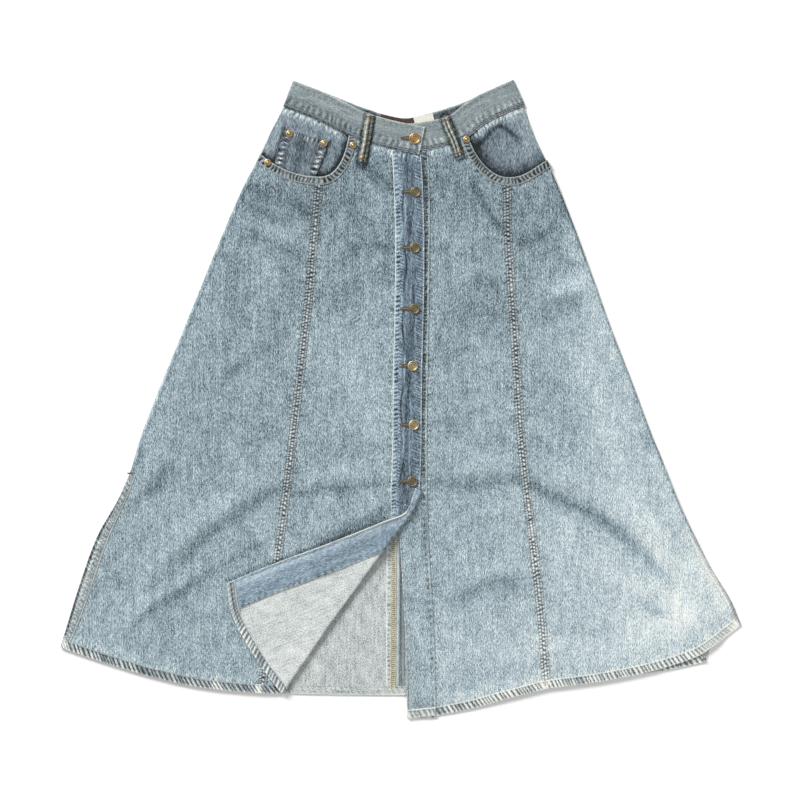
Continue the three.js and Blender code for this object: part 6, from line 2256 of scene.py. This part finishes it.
@dataclass
class Hardware:
    """The buttons with their worked buttonholes, and the rivets."""

    button_radius: float = 7.9
    waist_button_radius: float = 8.5
    rivet_radius: float = 5.2
    slot: float = 19.5
    eye: float = 3.2
    buttonhole_lift: float = 0.35
    on_band: float = CLOTH + 2 * GAP + BAND_CLOTH
    on_coin_pocket: float = LAYER + 0.2 + CLOTH + 0.5
    rivets: Sequence[tuple[str, float, float, bool]] = (
        ("right_pocket_side_rivet", -199.5, 355, True), ("right_pocket_waist_rivet", -71.5, 381, True),
        ("left_pocket_waist_rivet", 98.5, 389.5, True), ("coin_pocket_side_rivet", -167, 398.5, False),
        ("coin_pocket_front_rivet", -115, 384, False))

    def build(self) -> None:
        """Makes the buttons, buttonholes and rivets."""
        thread = Stitching("buttonhole_stitches", BUTTONHOLE_THREAD, radius=0.45)
        slits = []
        for index, (x, y) in enumerate(BUTTONS):
            is_waist = index == 0
            node = "waist_button" if is_waist else f"front_button_{index}"
            layers = ((lambda x, y: LAY.waist(x, False), lambda x, y: LAY.waist(x, True)) if is_waist
                      else (LAY.panel, LAY.panel_over))
            under, over = (height_at(top_of(layer, DOUBLE_CLOTH), x, y) for layer in layers)
            self.button(node, x, y, under + GAP, self.waist_button_radius if is_waist else self.button_radius)
            slits.append(self.buttonhole(thread, x, y, over + self.buttonhole_lift))
        thread.sewn()
        self.slit_lining(slits)
        for name, x, y, on_edge in self.rivets:
            base = LAY.panel_over if x < 0 else LAY.panel
            seat = (height_at(base, x, y) + self.on_band if on_edge
                    else height_at(LAY.floor, x, y) + self.on_coin_pocket)
            self.rivet(name, x, y, seat + 2 * GAP)

    def button(self, node: str, x: float, y: float, z: float, r: float) -> None:
        """A tack button: shank, rolled rim, and a dished face with a raised ring.

        Args:
            node: the CAD node that it stands for.
            x: its middle's x.
            y: its middle's y.
            z: the height of its foot.
            r: its radius.
        """
        s = DOUBLE_CLOTH + 2 * GAP + 0.3
        profile = [(0, 0, 0.1), (2.4, 0, 0.1), (2.4, s, 0.1), (r - 0.9, s + 0.2, 0.1), (r - 0.1, s + 0.7, 0.4),
                   (r, s + 1.1, 0.6), (r - 0.25, s + 1.7, 0.7), (r - 0.9, s + 2.1, 0.75), (r - 1.6, s + 2.1, 0.6),
                   (r - 2.2, s + 1.6, 0.1), (r - 2.9, s + 1.5, 0.0), (r - 3.4, s + 1.8, 0.5), (r - 4.0, s + 1.85, 0.55),
                   (r - 4.5, s + 1.6, 0.2), (1.6, s + 1.8, 0.45), (0, s + 1.9, 0.5)]
        finish = {"waist_button": WAIST_BUTTON_METAL, "front_button_4": BRIGHT_BUTTON_METAL,
                  "front_button_5": BRIGHT_BUTTON_METAL}.get(node, BUTTON_METAL)
        piece = Turned(f"{node}_head", finish, profile).build(x, y, z)
        MAKER.seat(piece, "button_metal", node)

    def rivet(self, name: str, x: float, y: float, z: float) -> None:
        """A rivet cap: a rounded rim and a raised point.

        Args:
            name: the CAD node that it stands for.
            x: its middle's x.
            y: its middle's y.
            z: the height of its foot.
        """
        r = self.rivet_radius
        profile = [(0, 0, 0.2), (r - 0.3, 0, 0.2), (r, 0.35, 0.6), (r - 0.4, 0.9, 0.7), (r - 1.3, 1.25, 0.5),
                   (2.6, 1.15, 0.15), (1.9, 1.3, 0.2), (1.4, 1.9, 0.6), (0.7, 2.2, 0.8), (0, 2.25, 0.8)]
        piece = Turned(f"{name}_cap", RIVET_METAL, profile).build(x, y, z)
        MAKER.seat(piece, "rivet_metal", name)

    def buttonhole(self, thread: Stitching, x: float, y: float, z: float) -> Array:
        """A worked buttonhole: stitches at right angles all round a keyhole.

        Args:
            thread: the stitching to add to.
            x: the button's x.
            y: the button's y.
            z: the height of the cloth's upper face.

        Returns:
            The outline of the slit, for its dark lining.
        """
        t = np.linspace(-2.6, 2.6, 26)
        eye = np.column_stack([self.eye * 1.05 * np.cos(t), self.eye * 1.05 * np.sin(t)])
        reach = np.linspace(-3.4, -self.slot, 22)
        upper = np.column_stack([reach, np.linspace(2.3, 0.8, 22)])
        lower = upper * [1, -1]
        outline = np.vstack([lower[::-1], eye, upper])
        outward = -left_of(outline)
        start = np.column_stack([outline + [x, y], np.full(len(outline), z)])
        end = start + np.column_stack([outward * 2.0, np.zeros(len(outline))])
        thread.single(start, end)
        bar = np.column_stack([np.full(7, x - self.slot - 0.5), y + np.linspace(-1.8, 1.8, 7), np.full(7, z)])
        thread.single(bar - [1.4, 0, 0], bar + [0.6, 0, 0])
        return start

    @staticmethod
    def slit_lining(slits: Sequence[Array]) -> None:
        """The shadowed cloth that shows inside each slit.

        Args:
            slits: the outline of each slit.
        """
        vertices, faces = [], []
        for outline in slits:
            start = sum(len(v) for v in vertices)
            n = len(outline)
            vertices += [outline + [0, 0, 0.25], outline - [0, 0, 0.45]]
            faces += [tuple(range(start + n - 1, start - 1, -1)), tuple(range(start + n, start + 2 * n))]
            faces += [(start + i, start + (i + 1) % n, start + n + (i + 1) % n, start + n + i) for i in range(n)]
        piece = MAKER.mesh("buttonhole_slits", np.vstack(vertices), faces, [BUTTONHOLE_THREAD])
        MAKER.seat(piece, "denim")


@dataclass
class Tacks:
    """The bar tacks at the slits' tops and the hem's corners."""

    places: Sequence[tuple[float, float, float, float]] = (
        (-405.5, -111, 4, 8.5), (-505, -366, 20, 8.0), (454, -390, 20, 7.0))
    half_width: float = 1.5
    stitches: int = 13

    def build(self) -> None:
        """Makes the tacks."""
        tacks = Stitching("slit_bar_tacks", RUST_THREAD, radius=0.42)
        for x, y, angle, length in self.places:
            z = height_at(LAY.panel, x, y) + CLOTH + 0.5
            along = np.array([math.cos(math.radians(angle)), math.sin(math.radians(angle)), 0])
            aside = np.array([-along[1], along[0], 0])
            for t in np.linspace(-0.5, 0.5, self.stitches):
                middle = np.array([x, y, z]) + along * t * length
                tacks.single(middle - aside * self.half_width, middle + aside * self.half_width)
        tacks.sewn()


@dataclass
class Studio:
    """A pale floor, soft lights and the camera straight above the skirt, in metres."""

    distance: float = 6.0
    frame: float = 1.2
    centre: Place = (-0.0011, -0.0011)
    sky: float = 0.42
    floor_reach: float = 6.0
    floor_z: float = -0.0002

    def build(self) -> None:
        """Makes the floor, the lights and the camera."""
        scene = bpy.context.scene
        scene.view_settings.view_transform = "Standard"
        mesh = bpy.data.meshes.new("floor")
        side = self.floor_reach
        corners = [(x, y, self.floor_z) for x, y in ((-side, -side), (side, -side), (side, side), (-side, side))]
        mesh.from_pydata(corners, [], [(0, 1, 2, 3)])
        floor = bpy.data.objects.new("floor", mesh)
        scene.collection.objects.link(floor)
        # Seamless paper, rolled and matt: an even white that takes a soft shadow.
        material, tree, shader = new_material("matt_white_paper")
        place = add_node(tree, "ShaderNodeTexCoord", {}, {}).outputs["Object"]
        noise = add_node(tree, "ShaderNodeTexNoise", {}, {"Vector": place, "Scale": 300.0})
        paper = add_ramp(tree, noise.outputs[0], [(0.0, "#fafafa"), (1.0, "#fdfdfd")])
        tree.links.new(paper, shader.inputs["Base Color"])
        shader.inputs["Roughness"].default_value = 0.9
        mesh.materials.append(material)
        world = bpy.data.worlds.new("soft_sky")
        world.use_nodes = True
        sky = world.node_tree.nodes["Background"]
        sky.inputs[0].default_value, sky.inputs[1].default_value = (1, 1, 1, 1), self.sky
        scene.world = world
        self.lamp("key_light", (-3.8, 4.6, 4.4), 2.8, 640.0)
        self.lamp("fill_light", (3.2, -1.8, 4.0), 2.6, 50.0)
        camera = bpy.data.objects.new("camera", bpy.data.cameras.new("camera"))
        camera.location = (*self.centre, self.distance)
        camera.data.lens = camera.data.sensor_width * (self.distance - 0.005) / self.frame
        camera.data.clip_end = 50.0
        scene.collection.objects.link(camera)
        scene.camera = camera

    @staticmethod
    def lamp(name: str, place: tuple[float, float, float], size: float, power: float) -> None:
        """A square soft light that faces the skirt.

        Args:
            name: the light's name.
            place: where it stands, in metres.
            size: its side, in metres.
            power: its power, in watts.
        """
        light = bpy.data.lights.new(name, "AREA")
        light.size = size
        light.energy = power
        lamp = bpy.data.objects.new(name, light)
        lamp.location = place
        lamp.rotation_mode = "QUATERNION"
        lamp.rotation_quaternion = (-Vector(place)).to_track_quat("-Z", "Y")
        bpy.context.scene.collection.objects.link(lamp)


@dataclass(frozen=True)
class Cut:
    """How a small piece of cloth was cut, and what it lies on."""

    piece: str
    width: float
    length: float
    lies_on: tuple[str, ...]
    goes_with: tuple[str, ...] = ()
    shows: float = 1.0

    def declare(self) -> None:
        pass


RIGHT_CENTRE, LEFT_CENTRE = "front_right_centre_panel", "front_left_centre_panel"
RIGHT_SIDE, LEFT_SIDE = "front_right_side_panel", "front_left_side_panel"
CUTS = (
    Cut("overlap_band", 43.5, 562, (RIGHT_CENTRE,),
        ("overlap_stitches", "overlap_edge_stitches", "buttonhole_stitches", "buttonhole_slits")),
    Cut("underlap_band", 43, 853, (LEFT_CENTRE,), ("underlap_stitches", "underlap_edge_stitches")),
    Cut("underlap_hem", 13, 44, (LEFT_CENTRE,), ("underlap_hem_stitches",)),
    Cut("corner_facing", 43, 290, (RIGHT_CENTRE,), ("corner_facing_stitches",)),
    Cut("corner_hem", 12.5, 188, (RIGHT_CENTRE,), ("corner_hem_stitches",)),
    Cut("right_princess_fell", 12, 758, (RIGHT_CENTRE, RIGHT_SIDE), ("right_princess_fell_stitches",)),
    Cut("left_princess_fell", 12, 746, (LEFT_CENTRE, LEFT_SIDE), ("left_princess_fell_stitches",)),
    Cut("right_side_hem", 13, 340, (RIGHT_SIDE,), ("right_side_hem_stitches",)),
    Cut("left_centre_hem", 13, 174, (LEFT_CENTRE,), ("left_centre_hem_stitches",)),
    Cut("left_side_hem", 13, 311, (LEFT_SIDE,), ("left_side_hem_stitches",)),
    Cut("right_slit_hem", 10, 283, (RIGHT_SIDE,), ("right_slit_hem_stitches", "slit_bar_tacks")),
    Cut("left_slit_hem", 10.5, 160, (LEFT_SIDE,), ("left_slit_hem_stitches",), shows=0.68),
    Cut("right_pocket_band", 12, 192, ("right_pocket_facing", RIGHT_SIDE, RIGHT_CENTRE), ("right_pocket_stitches",)),
    Cut("left_pocket_band", 12, 172, ("left_pocket_facing", LEFT_SIDE, LEFT_CENTRE), ("left_pocket_stitches",)),
    Cut("coin_pocket_cloth", 69, 66, ("right_pocket_facing",), ("coin_pocket_stitches",)),
    Cut("right_loop_cloth", 14, 75, ("waistband",), ("belt_loop_stitches", "belt_loop_bar_tacks")),
    Cut("left_loop_cloth", 14, 63, ("waistband",)),
    Cut("inner_label_patch", 44, 30.5, ("back_right_panel",)),
    Cut("care_label_patch", 24.5, 25, ("back_left_panel",)),
)


def main() -> None:
    """Builds the skirt around the frame, part by part."""
    logging.basicConfig(level=logging.INFO, format="%(name)s %(message)s")
    for part in (Back(), SidePanels(), CentrePanels(), Seams(), Placket(), FlapTrim(), Waistband(), Pockets(),
                 BeltLoops(), Hardware(), Tacks(), Studio()):
        LOG.info("building %s", type(part).__name__)
        part.build()
    for cut in CUTS:
        cut.declare()


if __name__ == "__main__":
    main()
